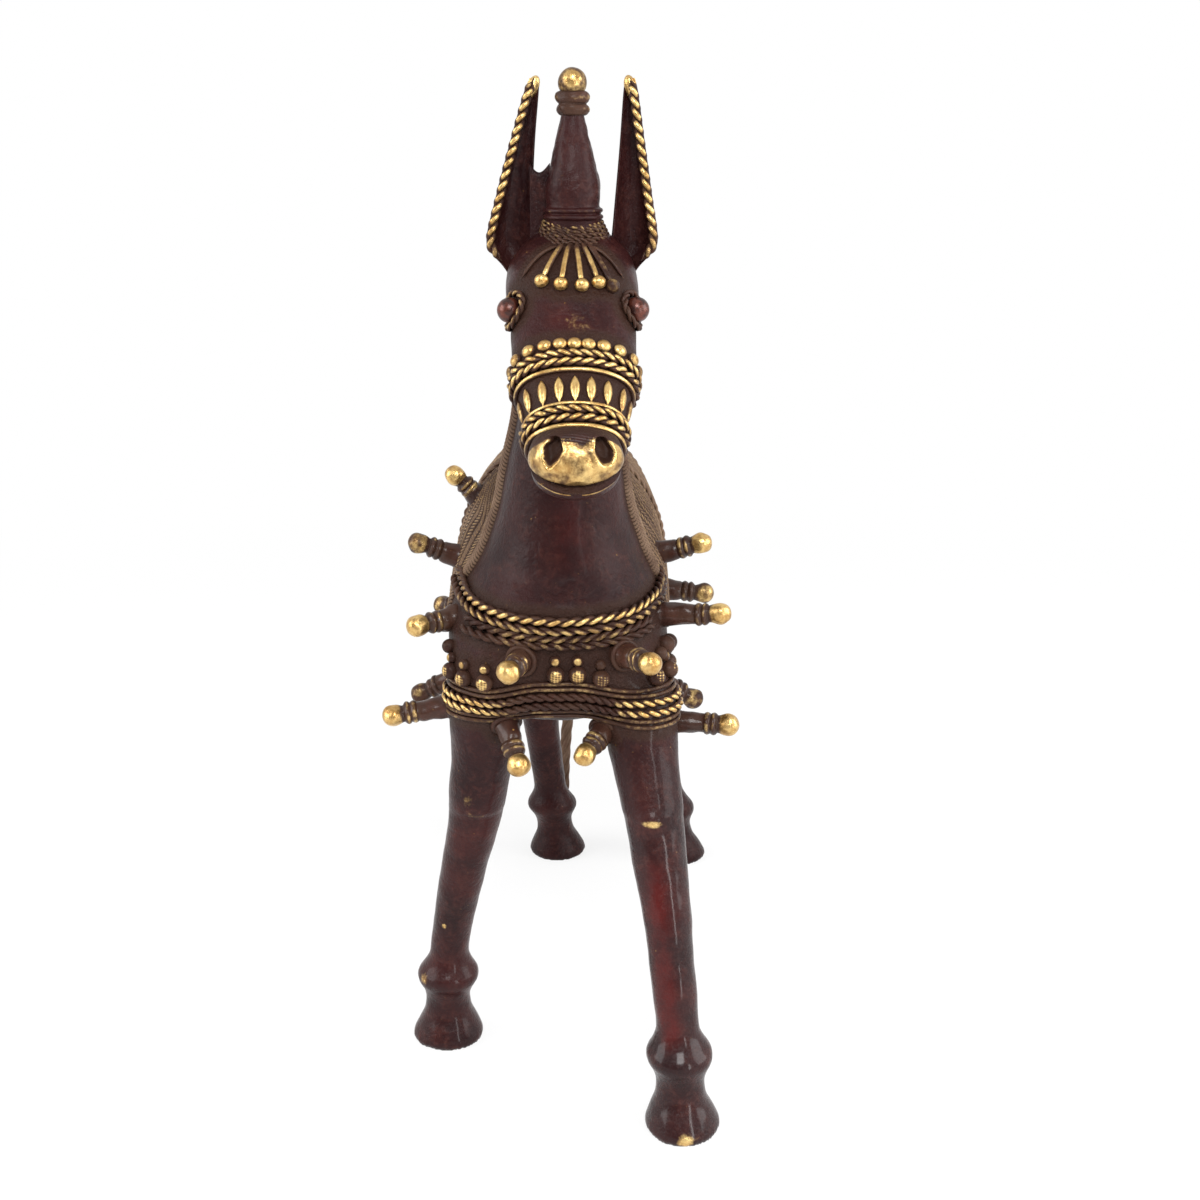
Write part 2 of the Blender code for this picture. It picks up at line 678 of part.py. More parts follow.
class Horse:
    """The pieces as they are made, with the hidden tools that trim them."""

    def __init__(self):
        self.root = bpy.data.objects.new("horse", None)
        bpy.context.scene.collection.objects.link(self.root)
        self.head_frame = bpy.data.objects.new("head_frame", None)
        bpy.context.scene.collection.objects.link(self.head_frame)
        self.head_frame.parent = self.root
        pivot_y = BODY_FRONT + HEAD_BEHIND_CHEST
        self.head_frame.location = (HEAD_LEAN, pivot_y, HEAD_PIVOT)
        self.head_frame.rotation_euler = (HEAD_PITCH, 0, HEAD_TURN)
        self.patina = material("patina_brass", (0.075, 0.032, 0.028), 0.38, 0.75)
        self.rubbed = material("rubbed_brass", (0.42, 0.28, 0.10), 0.34, 0.9)
        self.bright = material("bright_brass", (0.72, 0.48, 0.19), 0.22, 1.0)
        self.thread = material("thread_brass", (0.16, 0.115, 0.075), 0.55, 0.7)
        self.eye = material("eye_brass", (0.16, 0.05, 0.03), 0.25, 0.8)
        self.clay = material("clay", (0.22, 0.13, 0.09), 0.95, 0.0)
        self.tools = {}
        self.pieces = {}
        self.threads = []

    def add(self, name, mesh, surface, parent=None):
        made = add_object(name, mesh, surface, parent or self.root)
        self.pieces[name] = made
        return made

    def tool(self, name, mesh, parent=None):
        return hide_as_tool(add_object(name, mesh, None, parent or self.root))

    def trim(self, target, *hosts):
        for host in hosts:
            if host.name not in self.tools:
                self.tools[host.name] = grown_copy(host, SEAT_GAP)
            boolean(target, self.tools[host.name], "DIFFERENCE")

    def body_and_neck(self):
        seat = Vector((BODY_LEAN, BODY_FRONT, BODY_AXIS))
        body_form = loft_mesh("body_shell", body_rings(0, 18, BODY_SIDES))
        neck_form = loft_mesh("neck", neck_rings(0, 13, BODY_SIDES))
        self.body = self.add("body_shell", body_form, self.patina)
        self.neck = self.add("neck", neck_form, self.patina)
        hollow = self.tool("body_hollow", loft_mesh("body_hollow", body_rings(-SHELL_WALL, 10, 12)))
        bore_rings = neck_rings(-SHELL_WALL - 3.0 * MM, 13, 12, NECK_CORE_SHARE)
        bore = self.tool("neck_hollow", loft_mesh("neck_hollow", bore_rings))
        inset = -SHELL_WALL - SEAT_GAP
        core = self.add("clay_core", loft_mesh("clay_core", body_rings(inset, 10, 12)), self.clay)
        stem_rings = neck_rings(inset - 3.0 * MM, 13, 12, NECK_CORE_SHARE)
        for point in stem_rings[-1]:
            point.z -= SEAT_GAP
        stem = self.tool("core_stem", loft_mesh("core_stem", stem_rings))
        for piece in (self.body, hollow, core):
            piece.location = seat
        for piece in (self.neck, bore, stem):
            piece.location = seat - X * BODY_LEAN
        boolean(self.body, hollow, "DIFFERENCE")
        boolean(self.body, bore, "DIFFERENCE")
        boolean(core, stem, "UNION")
        self.trim(self.neck, self.body)
        boolean(self.neck, bore, "DIFFERENCE")

    def head_forms(self):
        frame = self.head_frame
        self.head = self.add("head", loft_mesh("head", head_rings(15, 20)), self.patina, frame)
        self.trim(self.neck, self.head)
        muzzle_mesh = loft_mesh("muzzle", jaw_rings(MUZZLE_ROWS, 1, 7, 16))
        self.muzzle = self.add("muzzle", muzzle_mesh, self.bright, frame)
        self.add("lower_lip", loft_mesh("lower_lip", jaw_rings(LIP_ROWS, -1, 7, 16)), self.patina, frame)
        for side in (-1, 1):
            mesh = turned_mesh("nostril_tool", ball_rows(0.0, NOSTRIL_RADIUS, 6), 8)
            nostril = self.tool("left_nostril" if side > 0 else "right_nostril", mesh, frame)
            level = MOUTH_LEVEL + NOSTRIL_LIFT
            nostril.location = (side * NOSTRIL_SPREAD, -HEAD_LENGTH - NOSTRIL_ALONG, level)
            boolean(self.muzzle, nostril, "DIFFERENCE")
        self.head_skin = skin_of(self.head)
        self.nose_laid = []

    def eyes(self):
        for side, word in ((1, "left"), (-1, "right")):
            start = Vector((side * RAY_REACH, -EYE_ALONG, EYE_LIFT))
            place, normal = lay(self.head_skin, [(start, -X * side)], 0.0)[0]
            mesh = turned_mesh("eye", ball_rows(0, EYE_RADIUS, 7), 12)
            ball = self.add(word + "_eye", mesh, self.eye, self.head_frame)
            ball.location = place + normal * (0.35 * EYE_RADIUS)
            self.trim(ball, self.head)
            turn = normal.to_track_quat("Z", "Y")
            path = []
            for k in range(24):
                angle = 2 * math.pi * k / 24
                out = turn @ (X * math.cos(angle) + Y * math.sin(angle))
                origin = place + out * EYE_RIM_RADIUS + normal * 0.01
                path.append((origin, -normal))
            rim = lay(self.head_skin, path, EYE_RIM_THREAD + SEAT_GAP, True)
            thread = EYE_RIM_THREAD
            mesh = strand_mesh("eye_rim", rim, thread, ROPE_CORNERS, 2.6 * MM, side, True, self.head_skin)
            self.add(word + "_eye_rim", mesh, self.rubbed, self.head_frame)

    def ears(self):
        rows = smooth_rows(EAR_ROWS, 9)
        for side, word, spread in ((1, "left", LEFT_EAR_SPREAD), (-1, "right", RIGHT_EAR_SPREAD)):
            inner = []
            outer = []
            edge = []
            for share, half, drawn in rows:
                out = spread[0] + (spread[1] - spread[0]) * share ** EAR_BOW - drawn * MM
                middle = HEAD_LEAN + side * out
                depth = BODY_FRONT + CREST_BEHIND_CHEST + (1.0 + 2.0 * share) * MM
                height = HEAD_PIVOT - EAR_FOOT_DROP + EAR_HEIGHT * share
                front = []
                back = []
                for k in range(7):
                    across = 2 * k / 6 - 1
                    cup = half * MM * (0.75 - 0.75 * across * across)
                    shift = side * across * half * MM
                    front.append(Vector((middle + shift, depth + cup, height)))
                    wall = EAR_THICKNESS * min(1.0, 0.35 + 0.22 * half)
                    back.append(Vector((middle + shift * 1.02, depth + cup + wall, height)))
                inner.append(front)
                outer.append(back)
                if share > 0.15:
                    before = Y * (EAR_ROPE_RADIUS + SEAT_GAP) + X * side * EAR_ROPE_RADIUS
                    edge.append((front[-1] - before, -Y))
            ear = self.add(word + "_ear", shell_mesh("ear", inner, outer), self.patina)
            self.trim(ear, self.head)
            mesh = strand_mesh("ear_rope", edge, EAR_ROPE_RADIUS, ROPE_CORNERS, 3.0 * MM, side, False)
            rope = self.add(word + "_ear_rope", mesh, self.rubbed)
            self.trim(rope, self.head)

    def crest(self):
        seat = Vector((CREST_LEAN, BODY_FRONT + CREST_BEHIND_CHEST, 0))
        r = CREST_RADIUS
        h = CREST_HEIGHT
        cone_rows = (
            (0.0, r + 0.3 * MM),
            (1.3 * MM, r + 0.75 * MM),
            (2.6 * MM, r - 0.1 * MM),
            (0.30 * h, r),
            (0.50 * h, 0.86 * r),
            (0.74 * h, 0.64 * r),
            (h, 0.42 * r),
        )
        cone = self.add("crest_cone", turned_mesh("crest_cone", cone_rows, ROUND_SIDES), self.patina)
        cone.location = seat + Z * (HEAD_PIVOT + CREST_LIFT)
        c = CREST_COLLAR_RADIUS
        tall = CREST_COLLAR_HEIGHT
        collar_rows = (
            (0.0, 0.68 * c),
            (0.22 * tall, 0.98 * c),
            (0.46 * tall, 0.8 * c),
            (0.72 * tall, c),
            (tall, 0.66 * c),
        )
        collar_mesh = turned_mesh("crest_collar", collar_rows, ROUND_SIDES)
        collar = self.add("crest_collar", collar_mesh, self.rubbed)
        collar.location = cone.location + Z * (h + SEAT_GAP)
        dish = -0.6 * CREST_BALL_RADIUS
        ball_shape = [row for row in ball_rows(0, CREST_BALL_RADIUS, 8) if row[0] > dish]
        ball = self.add("crest_ball", turned_mesh("crest_ball", ball_shape, ROUND_SIDES), self.bright)
        ball.location = collar.location + Z * (tall + SEAT_GAP - ball_shape[0][0])
        p = POLL_COIL_RADIUS
        top = HEAD_PIVOT + CREST_LIFT - SEAT_GAP
        coil_rows = [(top - 14.0 * MM, p)]
        for k in range(4):
            high = top - (3 - k) * 2.1 * MM
            fat = p * (1.04 - 0.05 * k)
            coil_rows.append((high - 2.05 * MM, fat - 0.45 * MM))
            coil_rows.append((high - 1.05 * MM, fat))
        coil_rows.append((top, 0.78 * p))
        coil = self.add("poll_coil", turned_mesh("poll_coil", coil_rows, 16), self.thread)
        coil.location = seat + Y * 1.2 * MM
        self.trim(coil, self.head)
        for word in ("left_ear", "right_ear"):
            self.trim(coil, self.pieces[word])

    def fringe(self):
        """Rods that fan out from a knot on the forehead, each ending in a ball."""
        lift = FRINGE_ROD_RADIUS + SEAT_GAP
        knot = None
        for k in range(FRINGE_RODS):
            place = k - (FRINGE_RODS - 1) / 2
            rays = []
            for step in range(9):
                t = step / 8
                along = FRINGE_KNOT_ALONG + (FRINGE_BALL_ALONG - FRINGE_KNOT_ALONG) * t
                across = place * (0.3 * MM + (FRINGE_SPREAD - 0.3 * MM) * t)
                rays.append((Vector((across, -along, RAY_REACH)), -Z))
            path = lay(self.head_skin, rays, lift)
            mesh = strand_mesh("rod", path, FRINGE_ROD_RADIUS, 5, 3.0 * MM, 0, False, self.head_skin)
            end, normal = path[-1]
            seat = end + normal * (FRINGE_BALL_RADIUS - FRINGE_ROD_RADIUS)
            bead = balls_mesh("fringe_ball", [seat], FRINGE_BALL_RADIUS)
            ball = self.tool("fringe_ball_%d" % k, bead, self.head_frame)
            if k == 0:
                knot = self.add("forehead_fringe", mesh, self.rubbed, self.head_frame)
            else:
                rod = self.tool("fringe_rod_%d" % k, mesh, self.head_frame)
                boolean(knot, rod, "UNION")
            boolean(knot, ball, "UNION")

    def nose_ring(self, along, radius):
        centre = Vector((0, -along, 0))
        rays = sweep_rays(centre, Y, Z, 0, RAY_COUNT - 1, True)
        return lay(self.head_skin, rays, radius + SEAT_GAP, True)

    def nose_strand(self, name, along, radius, hand, surface):
        corners = ROPE_CORNERS if hand else WIRE_CORNERS
        pitch = NOSE_ROPE_PITCH if hand else 2.6 * MM
        path = self.nose_ring(along, radius)
        guard = skin_of(self.head, *self.nose_laid)
        mesh = strand_mesh(name, path, radius, corners, pitch, hand, True, guard)
        made = self.add(name, mesh, surface, self.head_frame)
        self.nose_laid.append(made)
        return made

    def nosebands(self):
        step = 2 * NOSE_ROPE_RADIUS + SEAT_GAP
        to_wire = NOSE_ROPE_RADIUS + NOSE_WIRE_RADIUS + SEAT_GAP
        upper = NOSE_UPPER_ALONG
        lower = NOSE_LOWER_ALONG
        beaded = self.nose_strand("noseband_upper_rope_1", upper, NOSE_ROPE_RADIUS, 1, self.rubbed)
        self.nose_strand("noseband_upper_rope_2", upper + step, NOSE_ROPE_RADIUS, -1, self.rubbed)
        self.nose_strand("noseband_upper_wire", upper + step + to_wire, NOSE_WIRE_RADIUS, 0, self.rubbed)
        petal_along = lower - to_wire
        petalled = self.nose_strand("noseband_petal_wire", petal_along, NOSE_WIRE_RADIUS, 0, self.rubbed)
        self.nose_strand("noseband_lower_rope_1", lower, NOSE_ROPE_RADIUS, 1, self.rubbed)
        self.nose_strand("noseband_lower_rope_2", lower + step, NOSE_ROPE_RADIUS, -1, self.rubbed)
        self.nose_strand("noseband_lower_wire", lower + step + to_wire, NOSE_WIRE_RADIUS, 0, self.rubbed)
        touch = NOSE_ROPE_RADIUS * 0.7 + NOSE_BEAD_RADIUS - BEAD_SINK
        beads = []
        for k in range(NOSE_BEADS):
            turn = (k - (NOSE_BEADS - 1) / 2) * NOSE_BEAD_STEP
            place, _ = self.face_point(upper - touch, turn, NOSE_BEAD_RADIUS)
            beads.append(place)
        row = self.tool("nose_bead_row", balls_mesh("nose_beads", beads, NOSE_BEAD_RADIUS), self.head_frame)
        boolean(beaded, row, "UNION")
        middle = petal_along - PETAL_HALF_LENGTH + BEAD_OVERLAP
        places = []
        frames = []
        for k in range(PETALS):
            turn = (k - (PETALS - 1) / 2) * PETAL_STEP
            place, normal = self.face_point(middle, turn, 0.55 * PETAL_HALF_WIDTH)
            across = normal.cross(Y).normalized()
            places.append(place)
            frames.append((across, across.cross(normal), normal))
        size = (PETAL_HALF_WIDTH, PETAL_HALF_LENGTH, 0.55 * PETAL_HALF_WIDTH)
        leaves = self.tool("petal_row", balls_mesh("petals", places, 0, size, frames), self.head_frame)
        boolean(petalled, leaves, "UNION")

    def face_point(self, along, turn, lift):
        way = Z * math.cos(turn) + X * math.sin(turn)
        rays = [(Vector((0, -along, 0)) + way * RAY_REACH, -way)]
        return lay(self.head_skin, rays, lift + SEAT_GAP)[0]

    def legs(self):
        top = BODY_AXIS - 6.0 * MM
        hip = BODY_HALF_WIDTH - HIP_INSET
        fore = BODY_FRONT + FORE_HIP_ALONG
        hind = BODY_FRONT + HIND_HIP_ALONG
        stands = (
            ("left_fore_leg", LEFT_FORE_FOOT, (hip, fore), FORWARD_BEND),
            ("right_fore_leg", RIGHT_FORE_FOOT, (-hip, fore), KNEE_BEND),
            ("left_hind_leg", LEFT_HIND_FOOT, (hip, hind), EVEN_BEND),
            ("right_hind_leg", RIGHT_HIND_FOOT, (-hip + 2.0 * MM, hind), EVEN_BEND),
        )
        for name, foot, above, bend in stands:
            rings = leg_rings(foot, above, top, bend, ROUND_SIDES)
            leg = self.add(name, loft_mesh(name, rings), self.patina)
            leg.location = (*foot, 0)
            self.trim(leg, self.body)

    def tail(self):
        root = BODY_FRONT + BODY_LENGTH
        foot = Vector((*RIGHT_HIND_FOOT, 0))
        behind = FETLOCK_RADIUS + TAIL_RADIUS + SEAT_GAP
        stops = (
            (0.0, root - 12.0 * MM, BODY_AXIS + TAIL_ROOT_LIFT),
            (0.0, root + 1.0 * MM, BODY_AXIS + TAIL_ROOT_LIFT + 3.0 * MM),
            (0.0, root + TAIL_SWEEP, BODY_AXIS - 8.0 * MM),
            (0.5 * MM, root + TAIL_SWEEP, 0.55 * BODY_AXIS),
            (foot.x + 2.2 * MM, foot.y + behind + 0.6 * MM, TAIL_END_HEIGHT + 10.0 * MM),
            (foot.x + 1.6 * MM, foot.y + behind, FETLOCK_HEIGHT - 1.0 * MM),
        )
        path = []
        rows = smooth_rows(stops, 19)
        for place in rows:
            path.append((Vector(place), X))
        mesh = strand_mesh("tail", path, TAIL_RADIUS, 7, 9.0 * MM, 0, False)
        tail = self.add("tail", mesh, self.thread)
        self.trim(tail, self.body, self.pieces["right_hind_leg"])

    def collar_rays(self, level, reach, rise=0.0, dip=0.0):
        centre = Vector((0, BODY_FRONT + COLLAR_CENTRE, level))
        rays = []
        for start, way in sweep_rays(centre, Z, -Y, reach, RAY_COUNT):
            lift = rise * (1 + way.dot(-Y)) - dip * dip_share(way.angle(Y))
            rays.append((start + Z * lift, way))
        return rays

    def collar(self):
        hosts = [self.body, self.neck]
        skin = skin_of(*hosts)
        laid = []
        for k in range(4):
            level = COLLAR_TOP - k * (2 * COLLAR_ROPE_RADIUS + SEAT_GAP)
            reach = COLLAR_REACH if k < 2 else COLLAR_LOWER_REACH
            rays = self.collar_rays(level, reach, COLLAR_RISE)
            path = lay(skin, rays, COLLAR_ROPE_RADIUS + SEAT_GAP)
            hand = 1 if k % 2 else -1
            name = "collar_rope_%d" % (k + 1)
            guard = skin_of(*hosts, *laid)
            radius = COLLAR_ROPE_RADIUS
            mesh = strand_mesh(name, path, radius, ROPE_CORNERS, COLLAR_PITCH, hand, False, guard)
            laid.append(self.add(name, mesh, self.rubbed))
        self.threads += laid

    def breast_band(self):
        legs = [self.pieces["left_fore_leg"], self.pieces["right_fore_leg"]]
        skin = skin_of(self.body, *legs)
        wire = BREAST_WIRE_RADIUS
        rope = BREAST_ROPE_RADIUS
        rows = (
            ("breast_wire_1", wire, 0),
            ("breast_wire_2", wire, 0),
            ("breast_rope_1", rope, 1),
            ("breast_rope_2", rope, 1),
            ("breast_wire_3", wire, 0),
            ("breast_wire_4", wire, 0),
        )
        level = BREAST_TOP
        before = None
        laid = []
        for name, radius, hand in rows:
            if before is not None:
                level -= before + radius + SEAT_GAP
            before = radius
            path = lay(skin, self.collar_rays(level, BREAST_REACH, 0.0, BREAST_DIP), radius + SEAT_GAP)
            corners = ROPE_CORNERS if hand else WIRE_CORNERS
            pitch = BREAST_PITCH if hand else 4.4 * MM
            guard = skin_of(self.body, *legs, *laid)
            if not laid:
                carrier_line = strand_stops(path, radius, corners, pitch, hand, False, guard)
            mesh = strand_mesh(name, path, radius, corners, pitch, hand, False, guard)
            laid.append(self.add(name, mesh, self.rubbed))
        self.threads += laid
        level = BREAST_TOP + 0.6 * wire + CHEST_BEAD_RADIUS - BEAD_SINK
        large = []
        small = []
        rise = CHEST_BEAD_RADIUS + CHEST_SMALL_BEAD_RADIUS - BEAD_OVERLAP
        reach = CHEST_BEAD_RADIUS + 0.6 * wire - BEAD_SINK
        for degrees in CHEST_BEAD_TURNS:
            turn = math.radians(degrees)
            bead = self.chest_point(skin, level, turn, CHEST_BEAD_RADIUS * 0.7)
            bead = pulled_to(bead, nearest_on(carrier_line, bead), reach)
            tip = self.chest_point(skin, level + rise, turn, CHEST_SMALL_BEAD_RADIUS * 0.8)
            large.append(bead)
            small.append(pulled_to(tip, bead, rise))
        band = self.pieces["breast_wire_1"]
        for word, places, radius in (
            ("chest_beads", large, CHEST_BEAD_RADIUS),
            ("chest_small_beads", small, CHEST_SMALL_BEAD_RADIUS),
        ):
            boolean(band, self.tool(word, balls_mesh(word, places, radius)), "UNION")
        self.trim(band, self.body, *legs)

    def chest_point(self, skin, level, turn, lift):
        dip = BREAST_DIP * dip_share(abs(turn))
        centre = Vector((0, BODY_FRONT + COLLAR_CENTRE, level - dip))
        way = -Y * math.cos(turn) + X * math.sin(turn)
        return lay(skin, [(centre + way * RAY_REACH, -way)], lift + SEAT_GAP)[0][0]

    def mane(self):
        skin = skin_of(self.neck)
        inner = []
        outer = []
        columns = 11
        last = 6
        for j in range(last + 1):
            share = j / last
            near = []
            far = []
            rays = []
            for i in range(columns):
                turn = MANE_EDGE + (2 * math.pi - 2 * MANE_EDGE) * i / (columns - 1)
                back = 0.5 - 0.5 * math.cos(math.pi * 2 * i / (columns - 1))
                low = MANE_FOOT + (MANE_FOOT_BACK - MANE_FOOT) * back
                height = low + (MANE_TOP - low) * share
                middle = BODY_FRONT + (26.5 - 9.5 * height / NECK_HEIGHT) * MM
                centre = Vector((neck_lean(height), middle, BODY_AXIS + height))
                way = -Y * math.cos(turn) + X * math.sin(turn)
                rays.append((centre + way * RAY_REACH, -way))
            for place, normal in lay(skin, rays, 0.0):
                near.append(place - normal * SHEET_SINK)
                far.append(place + normal * (SEAT_GAP + MANE_THICKNESS))
            inner.append(near)
            outer.append(far)
        mane = self.add("mane", shell_mesh("mane", inner, outer), self.thread)
        self.trim(mane, self.neck, self.body, self.head)

    def saddle_cloth(self):
        skin = skin_of(self.body)
        inner = []
        outer = []
        for j in range(5):
            along = BODY_FRONT + CLOTH_FRONT + (CLOTH_BACK - CLOTH_FRONT) * j / 4
            centre = Vector((0, along, BODY_AXIS))
            rays = sweep_rays(centre, Y, Z, CLOTH_REACH, 15)
            near = []
            far = []
            for place, normal in lay(skin, rays, 0.0):
                near.append(place - normal * SHEET_SINK)
                far.append(place + normal * (SEAT_GAP + CLOTH_THICKNESS))
            inner.append(near)
            outer.append(far)
        cloth = self.add("saddle_cloth", shell_mesh("saddle_cloth", inner, outer), self.thread)
        self.trim(cloth, self.body)
        clear = CLOTH_ROPE_RADIUS + SEAT_GAP
        for word, along in (("front", CLOTH_FRONT - clear), ("rear", CLOTH_BACK + clear)):
            centre = Vector((0, BODY_FRONT + along, BODY_AXIS))
            rays = sweep_rays(centre, Y, Z, CLOTH_REACH, 49)
            path = lay(skin, rays, CLOTH_ROPE_RADIUS + SEAT_GAP)
            name = "saddle_cloth_%s_rope" % word
            mesh = strand_mesh(name, path, CLOTH_ROPE_RADIUS, ROPE_CORNERS, 5.0 * MM, 1, False, skin)
            self.add(name, mesh, self.rubbed)

    def peg_mesh(self, length, start):
        """A peg along its own Z axis: it starts inside its host, or on top of the threads under it."""
        reach = length - PEG_BALL_RADIUS
        foot = start if start > 0 else -PEG_ROOT_DEPTH
        rows = [
            (foot, PEG_ROOT_RADIUS),
            (max(foot, 0.0) + 0.5 * MM, PEG_ROOT_RADIUS),
            (reach - 2.6 * MM, PEG_TIP_RADIUS),
            (reach - 1.8 * MM, PEG_RING_RADIUS),
            (reach - 0.7 * MM, PEG_RING_RADIUS - 0.2 * MM),
            (reach, PEG_TIP_RADIUS - 0.2 * MM),
        ]
        rows += [r for r in ball_rows(length, PEG_BALL_RADIUS, 6) if r[0] > reach + 0.9 * MM]
        return turned_mesh("peg", rows, PEG_SIDES)

    def thread_height(self, root, way):
        """How far the threads under a peg's root reach along its axis; 0 where there are none."""
        highest = 0.0
        for piece in self.threads:
            points = piece.data.vertices
            for edge in piece.data.edges:
                a = points[edge.vertices[0]].co - root
                b = points[edge.vertices[1]].co - root
                for share in (0.0, 0.25, 0.5, 0.75):
                    place = a.lerp(b, share)
                    height = place.dot(way)
                    aside = (place - way * height).length
                    if aside < PEG_ROOT_RADIUS + SEAT_GAP and abs(height) < PEG_SHORTEST:
                        highest = max(highest, height + SEAT_GAP)
        return highest

    def pegs(self):
        legs = {"right": self.pieces["right_fore_leg"], "left": self.pieces["left_fore_leg"]}
        skin = skin_of(self.body, self.neck, *legs.values())
        for name, (across, behind, above), points in PEG_ROWS:
            way = Vector(points).normalized()
            aim = Vector((across * BODY_HALF_WIDTH, BODY_FRONT + behind * MM, BODY_AXIS + above * MM))
            root, _ = lay(skin, [(aim + way * 0.05, -way)], 0.0)[0]
            start = self.thread_height(root, way)
            length = max((aim - root).dot(way), start + PEG_SHORTEST)
            peg = self.add(name, self.peg_mesh(length, start), self.rubbed)
            peg.location = root
            peg.rotation_mode = "QUATERNION"
            peg.rotation_quaternion = way.to_track_quat("Z", "Y")
            self.trim(peg, self.body, self.neck)
            if "fore" in name or "chest" in name:
                self.trim(peg, legs[name.split("_")[0]])

    def centre_on_floor(self):
        """Moves the whole horse so that its footprint box is centred on the origin."""
        bpy.context.view_layer.update()
        seen = bpy.context.evaluated_depsgraph_get()
        low = [1.0, 1.0]
        high = [-1.0, -1.0]
        for piece in self.pieces.values():
            shaped = piece.evaluated_get(seen)
            for vert in shaped.data.vertices:
                place = shaped.matrix_world @ vert.co
                for axis in (0, 1):
                    low[axis] = min(low[axis], place[axis])
                    high[axis] = max(high[axis], place[axis])
        self.root.location = (-(low[0] + high[0]) / 2, -(low[1] + high[1]) / 2, 0)


def build():
    clear_scene()
    horse = Horse()
    horse.body_and_neck()
    horse.head_forms()
    horse.eyes()
    horse.ears()
    horse.crest()
    horse.fringe()
    horse.nosebands()
    horse.legs()
    horse.tail()
    horse.collar()
    horse.breast_band()
    horse.mane()
    horse.saddle_cloth()
    horse.pegs()
    horse.centre_on_floor()


build()
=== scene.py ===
"""Looks of the cast brass horse: its skin, thread work, beads, pegs and finishes, and the studio round it.

Sizes are in mm in the horse's own frame until a piece is made. It faces -Y, its left is +X and the floor
is Z = 0.
"""

import json
import math

import bpy
import numpy as np
from mathutils import Euler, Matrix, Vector, noise
from mathutils.bvhtree import BVHTree
from mathutils.kdtree import KDTree


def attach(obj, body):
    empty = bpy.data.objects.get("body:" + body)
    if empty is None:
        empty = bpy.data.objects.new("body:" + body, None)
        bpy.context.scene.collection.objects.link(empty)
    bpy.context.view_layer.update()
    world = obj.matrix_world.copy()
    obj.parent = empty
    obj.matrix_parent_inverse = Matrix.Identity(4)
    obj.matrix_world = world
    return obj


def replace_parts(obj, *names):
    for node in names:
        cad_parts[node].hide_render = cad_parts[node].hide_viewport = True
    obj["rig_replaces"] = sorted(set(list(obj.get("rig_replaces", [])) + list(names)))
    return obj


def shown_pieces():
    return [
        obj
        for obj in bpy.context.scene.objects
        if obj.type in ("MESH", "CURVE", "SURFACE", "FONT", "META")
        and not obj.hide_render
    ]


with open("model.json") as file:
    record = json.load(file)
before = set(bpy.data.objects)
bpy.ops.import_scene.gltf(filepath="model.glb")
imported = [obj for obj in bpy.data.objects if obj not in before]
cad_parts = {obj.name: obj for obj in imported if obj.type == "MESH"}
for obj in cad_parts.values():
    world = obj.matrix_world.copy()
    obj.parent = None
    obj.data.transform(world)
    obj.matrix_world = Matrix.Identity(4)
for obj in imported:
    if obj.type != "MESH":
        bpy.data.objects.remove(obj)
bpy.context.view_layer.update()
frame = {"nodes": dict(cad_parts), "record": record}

MM = 0.001
TURN = 2 * math.pi
RAY_START = 120.0

# Body
BODY_FRONT = 25.0
BODY_LENGTH = 127.0
BODY_AXIS = 112.5
BODY_HALF_WIDTH = 26.2
BODY_LEAN = -0.4
BODY_UP = 32.0
BODY_DOWN = 23.0
BODY_SQUARENESS = 2.15

# Neck and head
NECK_HEIGHT = 80.5
HEAD_PIVOT = BODY_AXIS + NECK_HEIGHT
NECK_LEAN = 0.8
NECK_SQUARENESS = 2.15
NECK_MIDDLE = 26.5
NECK_MIDDLE_DRIFT = 9.5
HEAD_LEAN = 3.5
HEAD_BEHIND_CHEST = 10.0
HEAD_PITCH = math.radians(42.0)
HEAD_TURN = math.radians(1.9)
HEAD_LENGTH = 51.0
HEAD_SQUARENESS = 2.25
FACE_RAY_START = 40.0
MOUTH_LEVEL = 2.0
MOUTH_GAP = 0.8
LIP_ROUND = 0.2
JAW_SQUARENESS = 2.15
MOUTH_WEB_LENGTH = 0.72
MOUTH_WEB_WIDTH = 0.78
MOUTH_WEB_SQUARENESS = 4.0
NOSTRIL_SPREAD = 4.8
NOSTRIL_SHIFT = 0.5
NOSTRIL_ALONG = 3.3
NOSTRIL_LIFT = 5.0
NOSTRIL_DEPTH = 2.4
NOSTRIL_RIM = 0.28
NOSTRIL_SIZES = np.array((1.85, 2.9, 2.9))
EYE_RADIUS = 2.6
EYE_SEAT = 0.4 * EYE_RADIUS
EYE_ALONG = 16.6
EYE_LIFT = 4.6
EYE_RIM_RADIUS = 3.7
EYE_RIM_ROPE_RADIUS = 0.72
EYE_RIM_LEAF = 1.9

# Ears, crest and fringe
EAR_FOOT_DROP = 4.0
EAR_BEHIND_CREST = 1.0
EAR_LEAN_BACK = 2.0
EAR_HEIGHT = 42.0
EAR_THICKNESS = 1.5
EAR_BOW = 1.5
EAR_CUP = 0.78
EAR_ROPE_RADIUS = 1.0
EAR_ROPE_LEAF = 2.35
EAR_ROPE_FOOT = 0.13
EAR_TIP_HALF_LENGTH = 2.5
EAR_TIP_RADIUS = 1.25
EAR_TIP_HALF_WIDTH = 1.3
CREST_BEHIND_CHEST = 6.0
CREST_LEAN = HEAD_LEAN + 0.4
CREST_LIFT = 11.0
CREST_RADIUS = 5.6
CREST_HEIGHT = 19.9
CREST_COLLAR_RADIUS = 3.5
CREST_COLLAR_HEIGHT = 4.9
CREST_BALL_RADIUS = 2.95
CREST_BALL_LIFT = 6.1
POLL_COIL_RADIUS = 6.8
POLL_TURNS = 7.6
POLL_ROPE_RADIUS = 0.56
POLL_LEAF = 1.5
